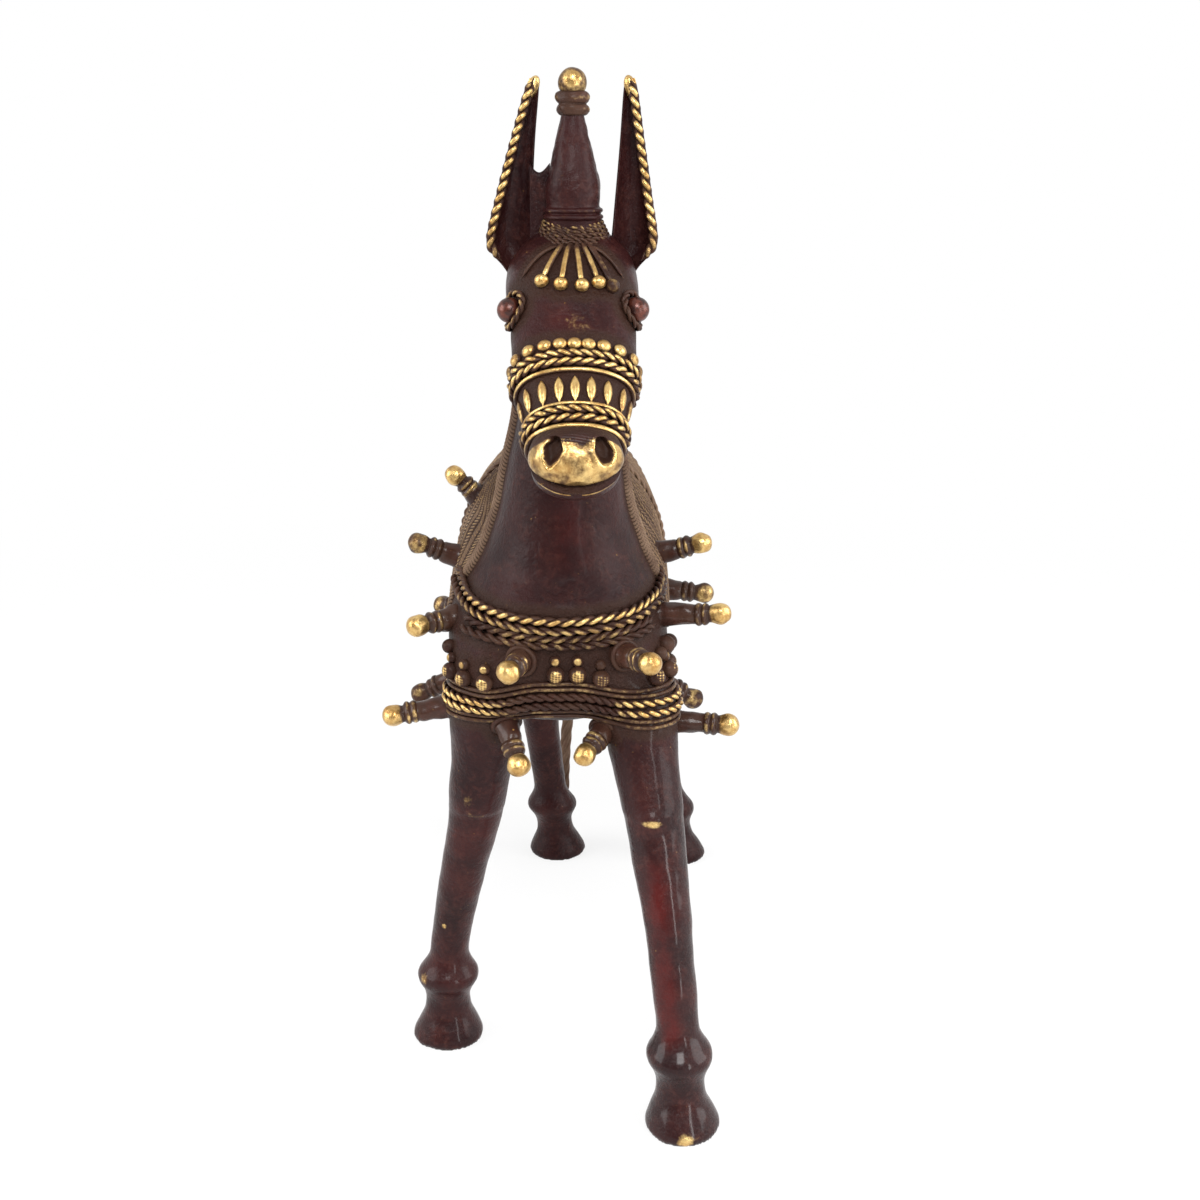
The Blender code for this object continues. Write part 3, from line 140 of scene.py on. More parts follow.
FRINGE_KNOT_ACROSS = 0.6
FRINGE_KNOT_ALONG = 3.6
FRINGE_ROD_STEP = 1.05
FRINGE_ROD_RADIUS = 0.62
BROWBAND_RADIUS = 0.42
FRINGE_BALL_SIZES = (1.5, 1.4, 1.45)
FRINGE_BALL_SEAT = 0.75
# Fringe rods: ball across the face, ball down the face, how bright it is rubbed
FRINGE_ENDS = (
    (-6.3, 14.6, 0.85),
    (-2.5, 16.0, 0.95),
    (1.7, 16.4, 0.95),
    (5.1, 15.2, 0.8),
    (7.8, 15.3, 0.45),
)

# Thread work
NOSE_ROPE_RADIUS = 0.86
NOSE_ROPE_LEAF = 2.2
NOSE_WIRE_RADIUS = 0.52
NOSE_ROPE_STEP = 1.94
NOSE_WIRE_STEP = 1.62
NOSE_UPPER_ALONG = 32.0
NOSE_LOWER_ALONG = 44.9
NOSE_BEADS = 11
NOSE_BEAD_STEP = math.radians(17.5)
NOSE_BEAD_ABOVE = 2.6
NOSE_BEAD_SIZES = (1.5, 1.35, 1.0)
NOSE_BEAD_SEAT = 0.4
PETALS = 9
PETAL_STEP = math.radians(21.5)
PETAL_HALF_LENGTH = 2.75
PETAL_HALF_WIDTH = 1.02
PETAL_HEIGHT = 0.75
PETAL_STEM = 0.2
PETAL_GAP = 0.85
COLLAR_TOP = BODY_AXIS + 5.6
COLLAR_RISE = 3.0
COLLAR_CENTRE = 27.0
COLLAR_ROPE_RADIUS = 1.02
COLLAR_ROPE_STEP = 2.15
COLLAR_LEAF = 2.9
COLLAR_REACH = math.radians(98.0)
COLLAR_LOWER_REACH = math.radians(54.0)
COLLAR_SHINES = (0.8, 0.6, 0.5, 0.42)
BREAST_TOP = BODY_AXIS - 9.9
BREAST_ROPE_RADIUS = 0.92
BREAST_LEAF = 2.3
BREAST_WIRE_RADIUS = 0.52
BREAST_WIRE_GAP = 0.25
BREAST_ROPE_GAP = 0.3
BREAST_BAND_GAP = 0.2
BREAST_REACH = math.radians(97.0)
BREAST_DIP = 2.6
BREAST_DIP_FROM = math.radians(8.0)
BREAST_DIP_TO = math.radians(36.0)
# Chest beads: degrees from the front; then, for each of a pair, height above the band and radius
CHEST_BEAD_TURNS = (-55.0, -44.0, -33.0, -1.0, 9.5, 20.0, 45.0, 56.0, 67.0)
CHEST_BEAD_PAIR = ((2.2, 2.0), (5.3, 1.25))
# Lumps of wax above the beads at the sides: degrees from the front, height above the band, radius
SIDE_LUMPS = ((-60.0, 7.2, 1.7), (60.0, 7.4, 2.2), (70.0, 6.6, 2.0), (52.0, 6.6, 1.6))

# Mane, withers and saddle cloth
MANE_THICKNESS = 1.6
MANE_EDGE = math.radians(84.0)
MANE_TOP = 0.77 * NECK_HEIGHT
MANE_FOOT = 0.18 * NECK_HEIGHT
MANE_FOOT_BACK = 0.43 * NECK_HEIGHT
MANE_BAND = 4.2
CLOTH_THICKNESS = 1.1
CLOTH_FRONT = 64.0
CLOTH_BACK = 101.0
CLOTH_REACH = math.radians(96.0)
CLOTH_BAND = 6.2
CLOTH_ROPE_RADIUS = 0.8
CLOTH_ROPE_LEAF = 2.4
CLOTH_ROPE_GAP = 1.2
SHEET_SEAT = 0.6
SHEET_EDGE = 1.2
THREAD_PITCH = 1.25
THREAD_HEIGHT = 0.42
MANE_RIDGE_FOOT = 6.5
MANE_RIDGE_HALF_WIDTH = 1.5
MANE_RIDGE_PITCH = 0.9
WITHERS_REACH = math.radians(100.0)
WITHERS_TOP = 58.0
WITHERS_SIDE = 24.0
WITHERS_PITCH = 1.2
WITHERS_BAND = 2.3
WITHERS_THICKNESS = 0.8
WITHERS_GAP = 2.6

# Legs, pegs and tail
HOOF_RADIUS = 8.9
PASTERN_RADIUS = 5.6
FETLOCK_RADIUS = 7.8
FETLOCK_HEIGHT = 17.9
SHANK_RADIUS = 4.9
KNEE_RADIUS = 6.3
LEG_TOP_RADIUS = 9.2
LEG_TOP = BODY_AXIS - 6.0
SHANK_FOOT = FETLOCK_HEIGHT + 8.0
HIP_INSET = 9.8
FORE_HIP_ALONG = 13.5
HIND_HIP_ALONG = 108.0
LEFT_FORE_FOOT = (28.6, 8.0)
RIGHT_FORE_FOOT = (-29.3, 46.0)
LEFT_HIND_FOOT = (34.6, 149.0)
RIGHT_HIND_FOOT = (-4.0, 152.5)
PEG_BALL_RADIUS = 2.5
PEG_LEAST_LENGTH = 7.5
PEG_RAY_START = 30.0
PEG_RING_RADIUS = 0.62
PEG_RING_REACH = 3.15
PEG_RING_LIFT = 0.7
TAIL_RADIUS = 1.65
TAIL_ROOT_LIFT = 16.0
TAIL_SWEEP = 12.0
TAIL_END_HEIGHT = 21.0
TAIL_STRANDS = 5
TAIL_TWIST = 26.0

# Skin: one cast surface over the body, neck, head and legs
SKIN_VOXEL = 0.65
FILLET_REACH = 7.0
FILLET_ROUNDS = 120
SMOOTHING_ROUNDS = 4
FLOOR_SNAP = 0.35

# Worn and folded places on the legs
KNEE_SPOT = np.array((21.2, 19.2, 71.5))
FETLOCK_SPOT = np.array((-34.8, 40.4, 18.8))
FOREARM_SPOT = np.array((-21.6, 33.8, 70.3))
FOREARM_FOLD = np.array((-18.9, 34.5, 66.0))
SHIN_SPOT = np.array((-28.9, 40.0, 33.8))
HOOF_SPOT = np.array((28.8, -0.8, 1.2))

# Camera and lamps; the camera's place is in the horse's frame, the lamps' in metres round it
CAMERA_PLACE = (9.5, -291.0, 216.3)
CAMERA_TILT = math.radians(73.4)
CAMERA_LENS = 45.0
LAMP_AIM = Vector((0, 0, 0.13))
# Lamps: name, place, width, height, power
LAMPS = (
    ("front_lamp", (0.05, -0.75, 0.75), 0.35, 0.35, 7.0),
    ("left_lamp", (-0.8, -0.25, 0.45), 0.6, 0.6, 6.0),
    ("right_lamp", (0.8, -0.2, 0.4), 0.6, 0.6, 6.0),
    ("strip_lamp", (0.46, -0.72, 0.16), 0.07, 0.5, 1.8),
)
FLOOR_HALF = 3.0

# Shapes read by the lofts
# Body: along, lift in mm, width, up, down
BODY_ROWS = (
    (0.000, -9.5, 0.20, 0.12, 0.13),
    (0.005, -9.5, 0.44, 0.25, 0.27),
    (0.024, -9.5, 0.72, 0.40, 0.44),
    (0.071, -8.5, 0.904, 0.52, 0.565),
    (0.150, -6.0, 0.979, 0.66, 0.67),
    (0.276, -2.5, 1.0, 0.875, 0.85),
    (0.433, 0.0, 1.0, 1.0, 1.0),
    (0.630, 0.5, 0.979, 0.97, 1.0),
    (0.811, 1.0, 0.904, 0.89, 0.91),
    (0.921, 1.5, 0.71, 0.69, 0.74),
    (0.976, 1.5, 0.43, 0.41, 0.48),
    (1.000, 1.5, 0.14, 0.14, 0.17),
)
# Neck: share of its height, then front and back behind the chest, and half width
NECK_ROWS = (
    (-0.205, 13.0, 50.0, 16.0),
    (-0.056, 5.0, 56.0, 21.0),
    (0.068, -2.5, 55.0, 23.0),
    (0.180, 2.0, 51.0, 19.3),
    (0.304, 4.0, 45.0, 15.4),
    (0.441, 5.0, 38.0, 13.2),
    (0.590, 5.0, 32.0, 10.9),
    (0.739, 3.0, 27.0, 10.0),
    (0.870, 2.0, 21.0, 9.5),
    (0.960, 4.0, 17.0, 7.0),
)
# Head: share of its length, half width, up and down
HEAD_ROWS = (
    (-0.18, 3.0, 3.0, 3.0),
    (-0.14, 7.0, 7.0, 7.0),
    (0.00, 12.8, 10.0, 11.0),
    (0.16, 13.9, 11.2, 12.0),
    (0.31, 13.0, 10.8, 12.4),
    (0.51, 12.7, 9.4, 11.0),
    (0.67, 11.8, 8.6, 9.6),
    (0.90, 9.2, 7.6, 8.2),
    (1.00, 8.8, 7.2, 7.6),
)
# Muzzle and lip: past the end of the head, half width, height from the mouth line
MUZZLE_ROWS = (
    (-1.5, 8.6, 6.0),
    (0.3, 9.1, 6.4),
    (2.2, 9.25, 6.2),
    (4.0, 8.6, 5.8),
    (5.4, 7.4, 5.0),
    (6.5, 5.8, 4.0),
    (7.3, 3.9, 2.8),
    (7.8, 1.9, 1.3),
)
LIP_ROWS = (
    (-1.5, 8.2, 8.0),
    (0.3, 8.6, 9.4),
    (3.2, 8.7, 8.2),
    (5.4, 7.9, 6.6),
    (7.1, 6.3, 4.8),
    (8.3, 4.5, 3.2),
    (9.0, 2.6, 1.9),
    (9.2, 1.2, 1.0),
)
# Ears: share of height, half width and how far the foot is drawn in
EAR_ROWS = (
    (0.00, 2.6, 5.0),
    (0.10, 3.4, 2.8),
    (0.17, 4.3, 0.9),
    (0.24, 4.65, 0.0),
    (0.44, 3.65, 0.0),
    (0.69, 2.4, 0.0),
    (0.93, 1.3, 0.0),
    (1.00, 0.7, 0.0),
)
LEFT_EAR_SPREAD = (13.4, 12.2)
RIGHT_EAR_SPREAD = (13.7, 7.5)
# Legs: share of the height, and how far the leg has come in from its foot to its hip
EVEN_BEND = ((0.0, 0.0), (1.0, 1.0))
FORWARD_BEND = ((0.0, 0.0), (0.2, 0.08), (0.47, 0.31), (0.62, 0.51), (0.84, 0.8), (1.0, 1.0))
KNEE_BEND = (
    *((0.0, 0.0), (0.08, 0.0), (0.17, 0.05), (0.25, 0.08)),
    *((0.49, 0.47), (0.585, 0.67), (0.78, 0.9), (1.0, 1.0)),
)
# Pegs: name, centre of the ball from the chest and the body axis, the way it points, how bright it is
# A shine below 1 dulls a ball: painted shade on balls turned from the light, along with less wear.
PEG_ROWS = (
    ("right_front_peg", (-10.6, -7.0, -4.9), (-0.34, -0.93, -0.05), 1.0),
    ("left_front_peg", (20.6, -7.0, -2.8), (0.53, -0.84, 0.10), 1.0),
    ("right_chest_peg", (-8.8, -2.5, -28.7), (0.28, -0.75, -0.60), 1.0),
    ("left_chest_peg", (6.0, -3.0, -26.0), (-0.47, -0.82, -0.32), 1.0),
    ("right_shoulder_peg", (-32.6, 13.0, -0.5), (-0.85, -0.52, -0.04), 0.95),
    ("left_shoulder_peg", (37.3, 14.0, 2.1), (0.96, -0.28, 0.09), 0.95),
    ("right_withers_peg", (-34.6, 36.0, 13.3), (-0.91, -0.18, 0.37), 0.6),
    ("left_withers_peg", (34.2, 36.0, 13.3), (0.94, -0.20, 0.28), 0.9),
    ("right_back_peg", (-27.0, 54.0, 26.3), (-0.70, -0.08, 0.71), 0.95),
    ("right_flank_peg", (-31.2, 57.0, -8.8), (-0.70, 0.70, -0.15), 0.6),
    ("left_flank_peg", (36.5, 56.0, -5.2), (0.99, -0.12, -0.06), 0.6),
    ("right_fore_peg", (-38.9, 12.0, -22.2), (-0.98, -0.15, -0.13), 1.0),
    ("left_fore_peg", (39.5, 10.0, -23.7), (0.98, -0.19, 0.0), 1.0),
    ("right_girth_peg", (-35.6, 39.0, -26.6), (-0.87, 0.12, -0.49), 0.5),
    ("left_girth_peg", (32.9, 38.0, -27.6), (0.85, 0.10, -0.53), 0.5),
)

X = np.array((1.0, 0.0, 0.0))
Y = np.array((0.0, 1.0, 0.0))
Z = np.array((0.0, 0.0, 1.0))

LEFT_SOLE = next(m for m in frame["record"]["mounts"] if m["name"] == "left_fore_sole")
SHIFT = np.array(LEFT_SOLE["pos_m"]) / MM - np.array((*LEFT_FORE_FOOT, 0.0))
HEAD_PLACE = np.array((HEAD_LEAN, BODY_FRONT + HEAD_BEHIND_CHEST, HEAD_PIVOT))
HEAD_AXES = np.array(Euler((HEAD_PITCH, 0, HEAD_TURN)).to_matrix())
DOWN_THE_FACE = HEAD_AXES @ -Y


# Curves and lofts

def smooth_rows(rows, count):
    """Rows read from a smooth curve through the given rows."""
    rows = np.asarray(rows, float)
    last = len(rows) - 1
    place = np.linspace(0, last, count)
    k = np.minimum(place.astype(int), last - 1)
    t = (place - k)[:, None]
    a = rows[np.maximum(k - 1, 0)]
    b = rows[k]
    c = rows[k + 1]
    d = rows[np.minimum(k + 2, last)]
    bend = (c - a) * t + (2 * a - 5 * b + 4 * c - d) * t**2 + (3 * b - a - 3 * c + d) * t**3
    return b + 0.5 * bend


def ease(low, high, value):
    """0 below low, 1 above high and a smooth rise between them."""
    t = np.clip((np.asarray(value, float) - low) / (high - low), 0.0, 1.0)
    return t * t * (3 - 2 * t)


def bell(value, middle, width):
    """1 at the middle, fading to nothing a little beyond the width."""
    return np.exp(-(((value - middle) / width) ** 2))


def unit(vectors):
    return vectors / np.maximum(np.linalg.norm(vectors, axis=-1, keepdims=True), 1e-9)


def stacked(*parts):
    """Points from their x, y and z, each a number or an array."""
    return np.stack(np.broadcast_arrays(*parts), -1)


def around(first, second, turns):
    """Directions that turn from the first way towards the second."""
    turns = np.asarray(turns)[..., None]
    return np.cos(turns) * first + np.sin(turns) * second


def even_turns(count):
    return np.arange(count) * TURN / count


def ring_of_ways(axis, count):
    """Directions at right angles to an axis, all the way round it."""
    first = unit(np.cross(axis, Z))
    return around(first, np.cross(axis, first), even_turns(count))


def oval_rings(centres, right, up, half, high, low, squareness, sides):
    """Rings of points on rounded sections whose upper and lower halves may differ."""
    angle = even_turns(sides)
    across = np.cos(angle)[None, :]
    rise = np.sin(angle)[None, :]
    tall = np.where(rise >= 0, high[:, None], low[:, None])
    power = (np.abs(across) / half[:, None]) ** squareness + (np.abs(rise) / tall) ** squareness
    reach = power ** (-1 / squareness)
    return centres[:, None] + (reach * across)[..., None] * right + (reach * rise)[..., None] * up


def loft(rings, closed=False):
    """A tube over rings of points, with an end cap on each open end."""
    count, sides = rings.shape[:2]
    faces = []
    for k in range(count if closed else count - 1):
        here = k * sides
        there = ((k + 1) % count) * sides
        for i in range(sides):
            j = (i + 1) % sides
            faces.append((here + i, here + j, there + j, there + i))
    if not closed:
        faces.append(tuple(reversed(range(sides))))
        faces.append(tuple(range((count - 1) * sides, count * sides)))
    return rings.reshape(-1, 3), faces


def round_loft(centres, radius, sides):
    return loft(oval_rings(centres, X, Y, radius, radius, radius, 2.0, sides))


def turned(rows, count, sides):
    """A form turned about its own Z axis from rows of height and radius."""
    height, radius = smooth_rows(rows, count).T
    return round_loft(height[:, None] * Z, radius, sides)


def from_axis(points):
    """How far points of a turned form are from its axis."""
    return np.hypot(points[:, 0], points[:, 1])


def pushed(points, amount):
    """Points of a turned form moved away from its axis."""
    return points + unit(points * (X + Y)) * amount[:, None]


def sheet(outer, inner):
    """A closed sheet between two grids of points of the same size."""
    rows, columns = outer.shape[:2]
    top = rows * columns
    grid = np.arange(top).reshape(rows, columns)
    faces = []
    for j in range(rows - 1):
        for i in range(columns - 1):
            a, b, c, d = grid[j, i], grid[j, i + 1], grid[j + 1, i + 1], grid[j + 1, i]
            faces.append((a, b, c, d))
            faces.append((top + a, top + d, top + c, top + b))
    rim = list(grid[0, :]) + list(grid[1:, -1]) + list(grid[-1, -2::-1]) + list(grid[-2:0:-1, 0])
    for k, a in enumerate(rim):
        b = rim[(k + 1) % len(rim)]
        faces.append((b, a, top + a, top + b))
    return np.concatenate((outer.reshape(-1, 3), inner.reshape(-1, 3))), faces


def to_head(points):
    """Points of the head's own frame, which runs down the face along -Y with the face towards +Z."""
    return np.asarray(points) @ HEAD_AXES.T + HEAD_PLACE


def from_head(points):
    return (np.asarray(points) - HEAD_PLACE) @ HEAD_AXES


def uneven(points, size, depth, seed=0.0):
    """Hand-worked wax: how far each point stands in or out, from a smooth noise of the given size."""
    offset = Vector((seed, 3.7 * seed, 1.3 * seed))
    return depth * np.array([noise.noise(Vector(p) / size + offset) for p in np.asarray(points)])


# Pieces

class Wax:
    """Points, faces and masks of one piece, gathered before it becomes an object."""

    def __init__(self, *first):
        self.points = []
        self.faces = []
        self.masks = {"polish": [], "shade": [], "red_and_reflection": [], "sheen": []}
        self.count = 0
        if first:
            self.add(*first)

    def add(self, shape, polish=0.0, shade=0.0, red_and_reflection=0.0, sheen=0.0):
        points, faces = shape
        self.points.append(np.asarray(points, float))
        self.faces += [tuple(int(i) + self.count for i in face) for face in faces]
        for word, value in zip(self.masks, (polish, shade, red_and_reflection, sheen)):
            self.masks[word].append(np.broadcast_to(np.asarray(value, float), len(points)))
        self.count += len(points)


def make_mesh(name, points, faces):
    mesh = bpy.data.meshes.new(name)
    mesh.from_pydata(np.asarray(points).tolist(), [], faces)
    mesh.update()
    return mesh


def add_object(name, data):
    made = bpy.data.objects.new(name, data)
    bpy.context.scene.collection.objects.link(made)
    return made


def make_piece(name, wax, slot, *nodes, finish=None):
    """The object for gathered wax. It stands for the CAD nodes, if any; the slot gives its finish."""
    points = (np.concatenate(wax.points) + SHIFT) * MM
    mesh = make_mesh(name, points, wax.faces)
    mesh.shade_smooth()
    for word, values in wax.masks.items():
        layer = mesh.attributes.new(word, "FLOAT", "POINT")
        layer.data.foreach_set("value", np.concatenate(values).astype(np.float32))
    mesh.materials.append(FINISHES[finish or slot])
    piece = add_object(name, mesh)
    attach(piece, "root")
    if nodes:
        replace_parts(piece, *nodes)


def cast_piece(node, wax, slot, finish=None):
    """The piece that stands for one CAD node."""
    make_piece(node + "_cast", wax, slot, node, finish=finish)


# The skin

def body_loft():
    along, lift, width, up, down = smooth_rows(BODY_ROWS, 70).T
    centres = stacked(BODY_LEAN, BODY_FRONT + BODY_LENGTH * along, BODY_AXIS + lift)
    half = BODY_HALF_WIDTH * width
    return loft(oval_rings(centres, X, Z, half, BODY_UP * up, BODY_DOWN * down, BODY_SQUARENESS, 64))


def neck_lean(height):
    share = np.clip(height / NECK_HEIGHT, 0.0, 1.0)
    return NECK_LEAN + (HEAD_LEAN - NECK_LEAN) * share**2


def neck_loft():
    share, front, back, half = smooth_rows(NECK_ROWS, 60).T
    height = share * NECK_HEIGHT
    centres = stacked(neck_lean(height), BODY_FRONT + (front + back) / 2, BODY_AXIS + height)
    depth = (back - front) / 2
    return loft(oval_rings(centres, X, Y, half, depth, depth, NECK_SQUARENESS, 56))


def head_loft():
    share, half, up, down = smooth_rows(HEAD_ROWS, 60).T
    centres = -HEAD_LENGTH * share[:, None] * Y
    return loft(to_head(oval_rings(centres, X, Z, half, up, down, HEAD_SQUARENESS, 56)))


def leg_loft(foot, hip, bend):
    """Hoof, pastern and fetlock keep their heights; the shank and the shoulder fill what is left."""
    shank_length = LEG_TOP - SHANK_FOOT
    # Shares of the fetlock's height, then of the shank's length, each with a radius
    foot_rows = (
        (0.25, HOOF_RADIUS - 1.3),
        (0.44, PASTERN_RADIUS + 0.4),
        (0.63, PASTERN_RADIUS),
        (0.73, PASTERN_RADIUS + 0.3),
        (0.83, FETLOCK_RADIUS - 1.2),
        (0.94, FETLOCK_RADIUS - 0.15),
        (1.05, FETLOCK_RADIUS - 0.15),
        (1.16, FETLOCK_RADIUS - 1.4),
        (1.27, SHANK_RADIUS + 0.5),
    )
    shank_rows = (
        (0.0, SHANK_RADIUS),
        (0.22, SHANK_RADIUS + 0.5),
        (0.42, KNEE_RADIUS),
        (0.60, KNEE_RADIUS + 0.8),
        (0.78, LEG_TOP_RADIUS - 0.7),
        (0.91, LEG_TOP_RADIUS),
        (1.0, 0.75 * LEG_TOP_RADIUS),
    )
    rows = [(0.0, HOOF_RADIUS - 0.6), (1.2, HOOF_RADIUS)]
    rows += [(share * FETLOCK_HEIGHT, radius) for share, radius in foot_rows]
    rows += [(SHANK_FOOT + share * shank_length, radius) for share, radius in shank_rows]
    height, radius = smooth_rows(rows, 140).T
    stops = np.array(bend)
    nearby = np.clip(height[:, None] / LEG_TOP + np.linspace(-0.06, 0.06, 9), 0, 1)
    share = np.interp(nearby, stops[:, 0], stops[:, 1]).mean(1)
    foot = np.array((*foot, 0.0))
    lean = np.array((*hip, 0.0)) - foot
    return round_loft(foot + share[:, None] * lean + height[:, None] * Z, radius, 40)


def skin_lofts():
    hip = BODY_HALF_WIDTH - HIP_INSET
    fore = BODY_FRONT + FORE_HIP_ALONG
    hind = BODY_FRONT + HIND_HIP_ALONG
    return (
        body_loft(),
        neck_loft(),
        head_loft(),
        leg_loft(LEFT_FORE_FOOT, (hip, fore), FORWARD_BEND),
        leg_loft(RIGHT_FORE_FOOT, (-hip, fore), KNEE_BEND),
        leg_loft(LEFT_HIND_FOOT, (hip, hind), EVEN_BEND),
        leg_loft(RIGHT_HIND_FOOT, (-hip + 2.0, hind), EVEN_BEND),
    )


def joined(lofts):
    """All lofts as one closed mesh: overlapping walls are dissolved by a voxel remesh."""
    wax = Wax()
    for shape in lofts:
        wax.add(shape)
    draft = add_object("skin_draft", make_mesh("skin_draft", np.concatenate(wax.points), wax.faces))
    remesh = draft.modifiers.new("join", "REMESH")
    remesh.mode = "VOXEL"
    remesh.voxel_size = SKIN_VOXEL
    seen = bpy.context.evaluated_depsgraph_get()
    mesh = bpy.data.meshes.new_from_object(draft.evaluated_get(seen))
    bpy.data.objects.remove(draft)
    return mesh


def tree_of(points, faces):
    return BVHTree.FromPolygons([Vector(p) for p in points], faces)


def gap_to_second(points, lofts):
    """How far each point is from the second nearest loft: small along the joints."""
    gaps = np.full((len(lofts), len(points)), 99.0)
    for n, (verts, faces) in enumerate(lofts):
        tree = tree_of(verts, faces)
        low = verts.min(0) - FILLET_REACH
        high = verts.max(0) + FILLET_REACH
        for i in np.flatnonzero(np.all((points > low) & (points < high), axis=1)):
            gap = tree.find_nearest(Vector(points[i]), FILLET_REACH)[3]
            if gap is not None:
                gaps[n, i] = gap
    return np.sort(gaps, axis=0)[1]


def relaxed(points, edges, weight, rounds):
    """Points drawn towards the middle of their neighbours, as a wax joint is smoothed with a warm tool."""
    a = np.concatenate((edges[:, 0], edges[:, 1]))
    b = np.concatenate((edges[:, 1], edges[:, 0]))
    count = np.maximum(np.bincount(a, minlength=len(points)), 1)
    for _ in range(rounds):
        for axis in range(3):
            middle = np.bincount(a, points[b, axis], len(points)) / count
            points[:, axis] += 0.5 * weight * (middle - points[:, axis])
    return points


def read_vectors(mesh, word):
    vectors = np.empty(len(mesh.vertices) * 3)
    mesh.vertices.foreach_get(word, vectors)
    return vectors.reshape(-1, 3)


def write_points(mesh, points):
    mesh.vertices.foreach_set("co", points.ravel())
    mesh.update()


def near(points, spot, reach):
    """1 at the spot, fading to nothing a little beyond the reach, which may differ along each axis."""
    return np.exp(-np.sum(((points - spot) / np.asarray(reach)) ** 2, axis=1))


def cast_skin_mesh():
    """One skin over body, neck, head and legs, filleted at the joints, uneven as worked wax is."""
    lofts = skin_lofts()
    mesh = joined(lofts)
    points = read_vectors(mesh, "co")
    edges = np.empty(len(mesh.edges) * 2, int)
    mesh.edges.foreach_get("vertices", edges)
    edges = edges.reshape(-1, 2)
    joint = np.clip(1 - gap_to_second(points, lofts) / FILLET_REACH, 0, 1)
    points = relaxed(points, edges, joint, FILLET_ROUNDS)
    points = relaxed(points, edges, np.ones(len(points)), SMOOTHING_ROUNDS)
    write_points(mesh, points)
    swell = uneven(points, 13.0, 0.35) + uneven(points, 4.5, 0.12, 5.0)
    swell += 0.9 * near(points, KNEE_SPOT, (3.6, 3.6, 2.4))
    for fold in (KNEE_SPOT, FOREARM_FOLD):
        above = ease(-1.0, 0.6, points[:, 2] - fold[2])
        swell += 0.75 * above * near(points, fold + 3 * Z, (7.5, 7.5, 5.5))
    points = points + read_vectors(mesh, "normal") * swell[:, None]
    points[:, 2] = np.where(points[:, 2] < FLOOR_SNAP, 0.0, points[:, 2])
    write_points(mesh, points)
    return mesh


class Skin:
    """The cast surface that threads, beads and pegs are laid on."""

    def __init__(self, mesh):
        self.points = read_vectors(mesh, "co")
        self.faces = [tuple(p.vertices) for p in mesh.polygons]
        self.tree = tree_of(self.points, self.faces)

    def cast(self, starts, ways):
        """Where rays meet the skin, with the outward normals there."""
        rays = zip(*np.broadcast_arrays(starts, ways))
        hits = [self.tree.ray_cast(Vector(start), Vector(way)) for start, way in rays]
        hits = [hit for hit in hits if hit[0] is not None]
        return np.array([hit[0] for hit in hits]), np.array([hit[1] for hit in hits])

    def touch(self, start, way):
        """Where one ray meets the skin, with the normal there."""
        places, normals = self.cast([start], [way])
        return places[0], normals[0]


def evened(values, width, closed=False):
    """A running mean along the first axis."""
    total = np.zeros_like(values)
    count = len(values)
    for step in range(-width, width + 1):
        index = np.arange(count) + step
        index = index % count if closed else np.clip(index, 0, count - 1)
        total += values[index]
    return total / (2 * width + 1)


def evened_grid(grid, width, rounds):
    """A running mean along both axes of a grid."""
    for _ in range(rounds):
        grid = evened(grid, width)
        grid = np.swapaxes(evened(np.swapaxes(grid, 0, 1), width), 0, 1)
    return grid


def laid(skin, starts, ways, closed=False, width=3):
    """A smooth path on the skin: places and normals."""
    places, normals = skin.cast(starts, ways)
    return evened(places, width, closed), unit(evened(normals, width, closed))


def run_length(places, axis=0):
    """Distance from the first place, along one axis of a path or grid."""
    steps = np.linalg.norm(np.diff(places, axis=axis), axis=-1)
    return np.concatenate((0 * steps.take([0], axis), np.cumsum(steps, axis)), axis)


def spread_evenly(places, normals, step, closed=False):
    """The path again at even steps: places, normals, distances from its start, and its length."""
    if closed:
        places = np.concatenate((places, places[:1]))
        normals = np.concatenate((normals, normals[:1]))
    lengths = run_length(places)
    count = max(8, int(round(lengths[-1] / step)))
    want = np.linspace(0, lengths[-1], count + 1)
    if closed:
        want = want[:-1]
    at = [np.interp(want, lengths, places[:, axis]) for axis in range(3)]
    up = [np.interp(want, lengths, normals[:, axis]) for axis in range(3)]
    return np.stack(at, 1), unit(np.stack(up, 1)), want, lengths[-1]


def along_path(places, closed=False):
    if closed:
        return unit(np.roll(places, -1, 0) - np.roll(places, 1, 0))
    return unit(np.gradient(places, axis=0))


def swept(places, normals, radius, sides, closed=False):
    """A round bar along a path; the radius may change along it."""
    along = along_path(places, closed)
    side = unit(np.cross(along, normals))
    up = np.cross(side, along)
    radius = np.broadcast_to(np.asarray(radius, float), len(places))
    ring = around(up[:, None], -side[:, None], even_turns(sides))
    return loft(places[:, None] + ring * radius[:, None, None], closed)


def end_taper(want, length, reach, closed=False):
    if closed:
        return np.ones(len(want))
    return np.maximum(ease(0, reach, want) * ease(0, reach, length - want), 0.12)


def rubbed_along(rub, share):
    """How bright a thread is along its length: the rub is one number, or a function of the share."""
    return rub(share) if callable(rub) else np.full(len(share), rub)


def wire(wax, path, radius, rub, closed=False, sides=10):
    """A plain wire pressed on the skin."""
    places, normals, want, length = spread_evenly(*path, 0.9, closed)
    places = places + normals * radius * 0.8
    shape = swept(places, normals, radius * end_taper(want, length, 2.0, closed), sides, closed)
    height = np.cos(even_turns(sides))
    bright = rubbed_along(rub, want / length)[:, None] * ease(0.1, 0.95, height)
    wax.add(shape, bright.ravel(), np.tile(0.8 * ease(0.5, -0.6, height), len(want)))


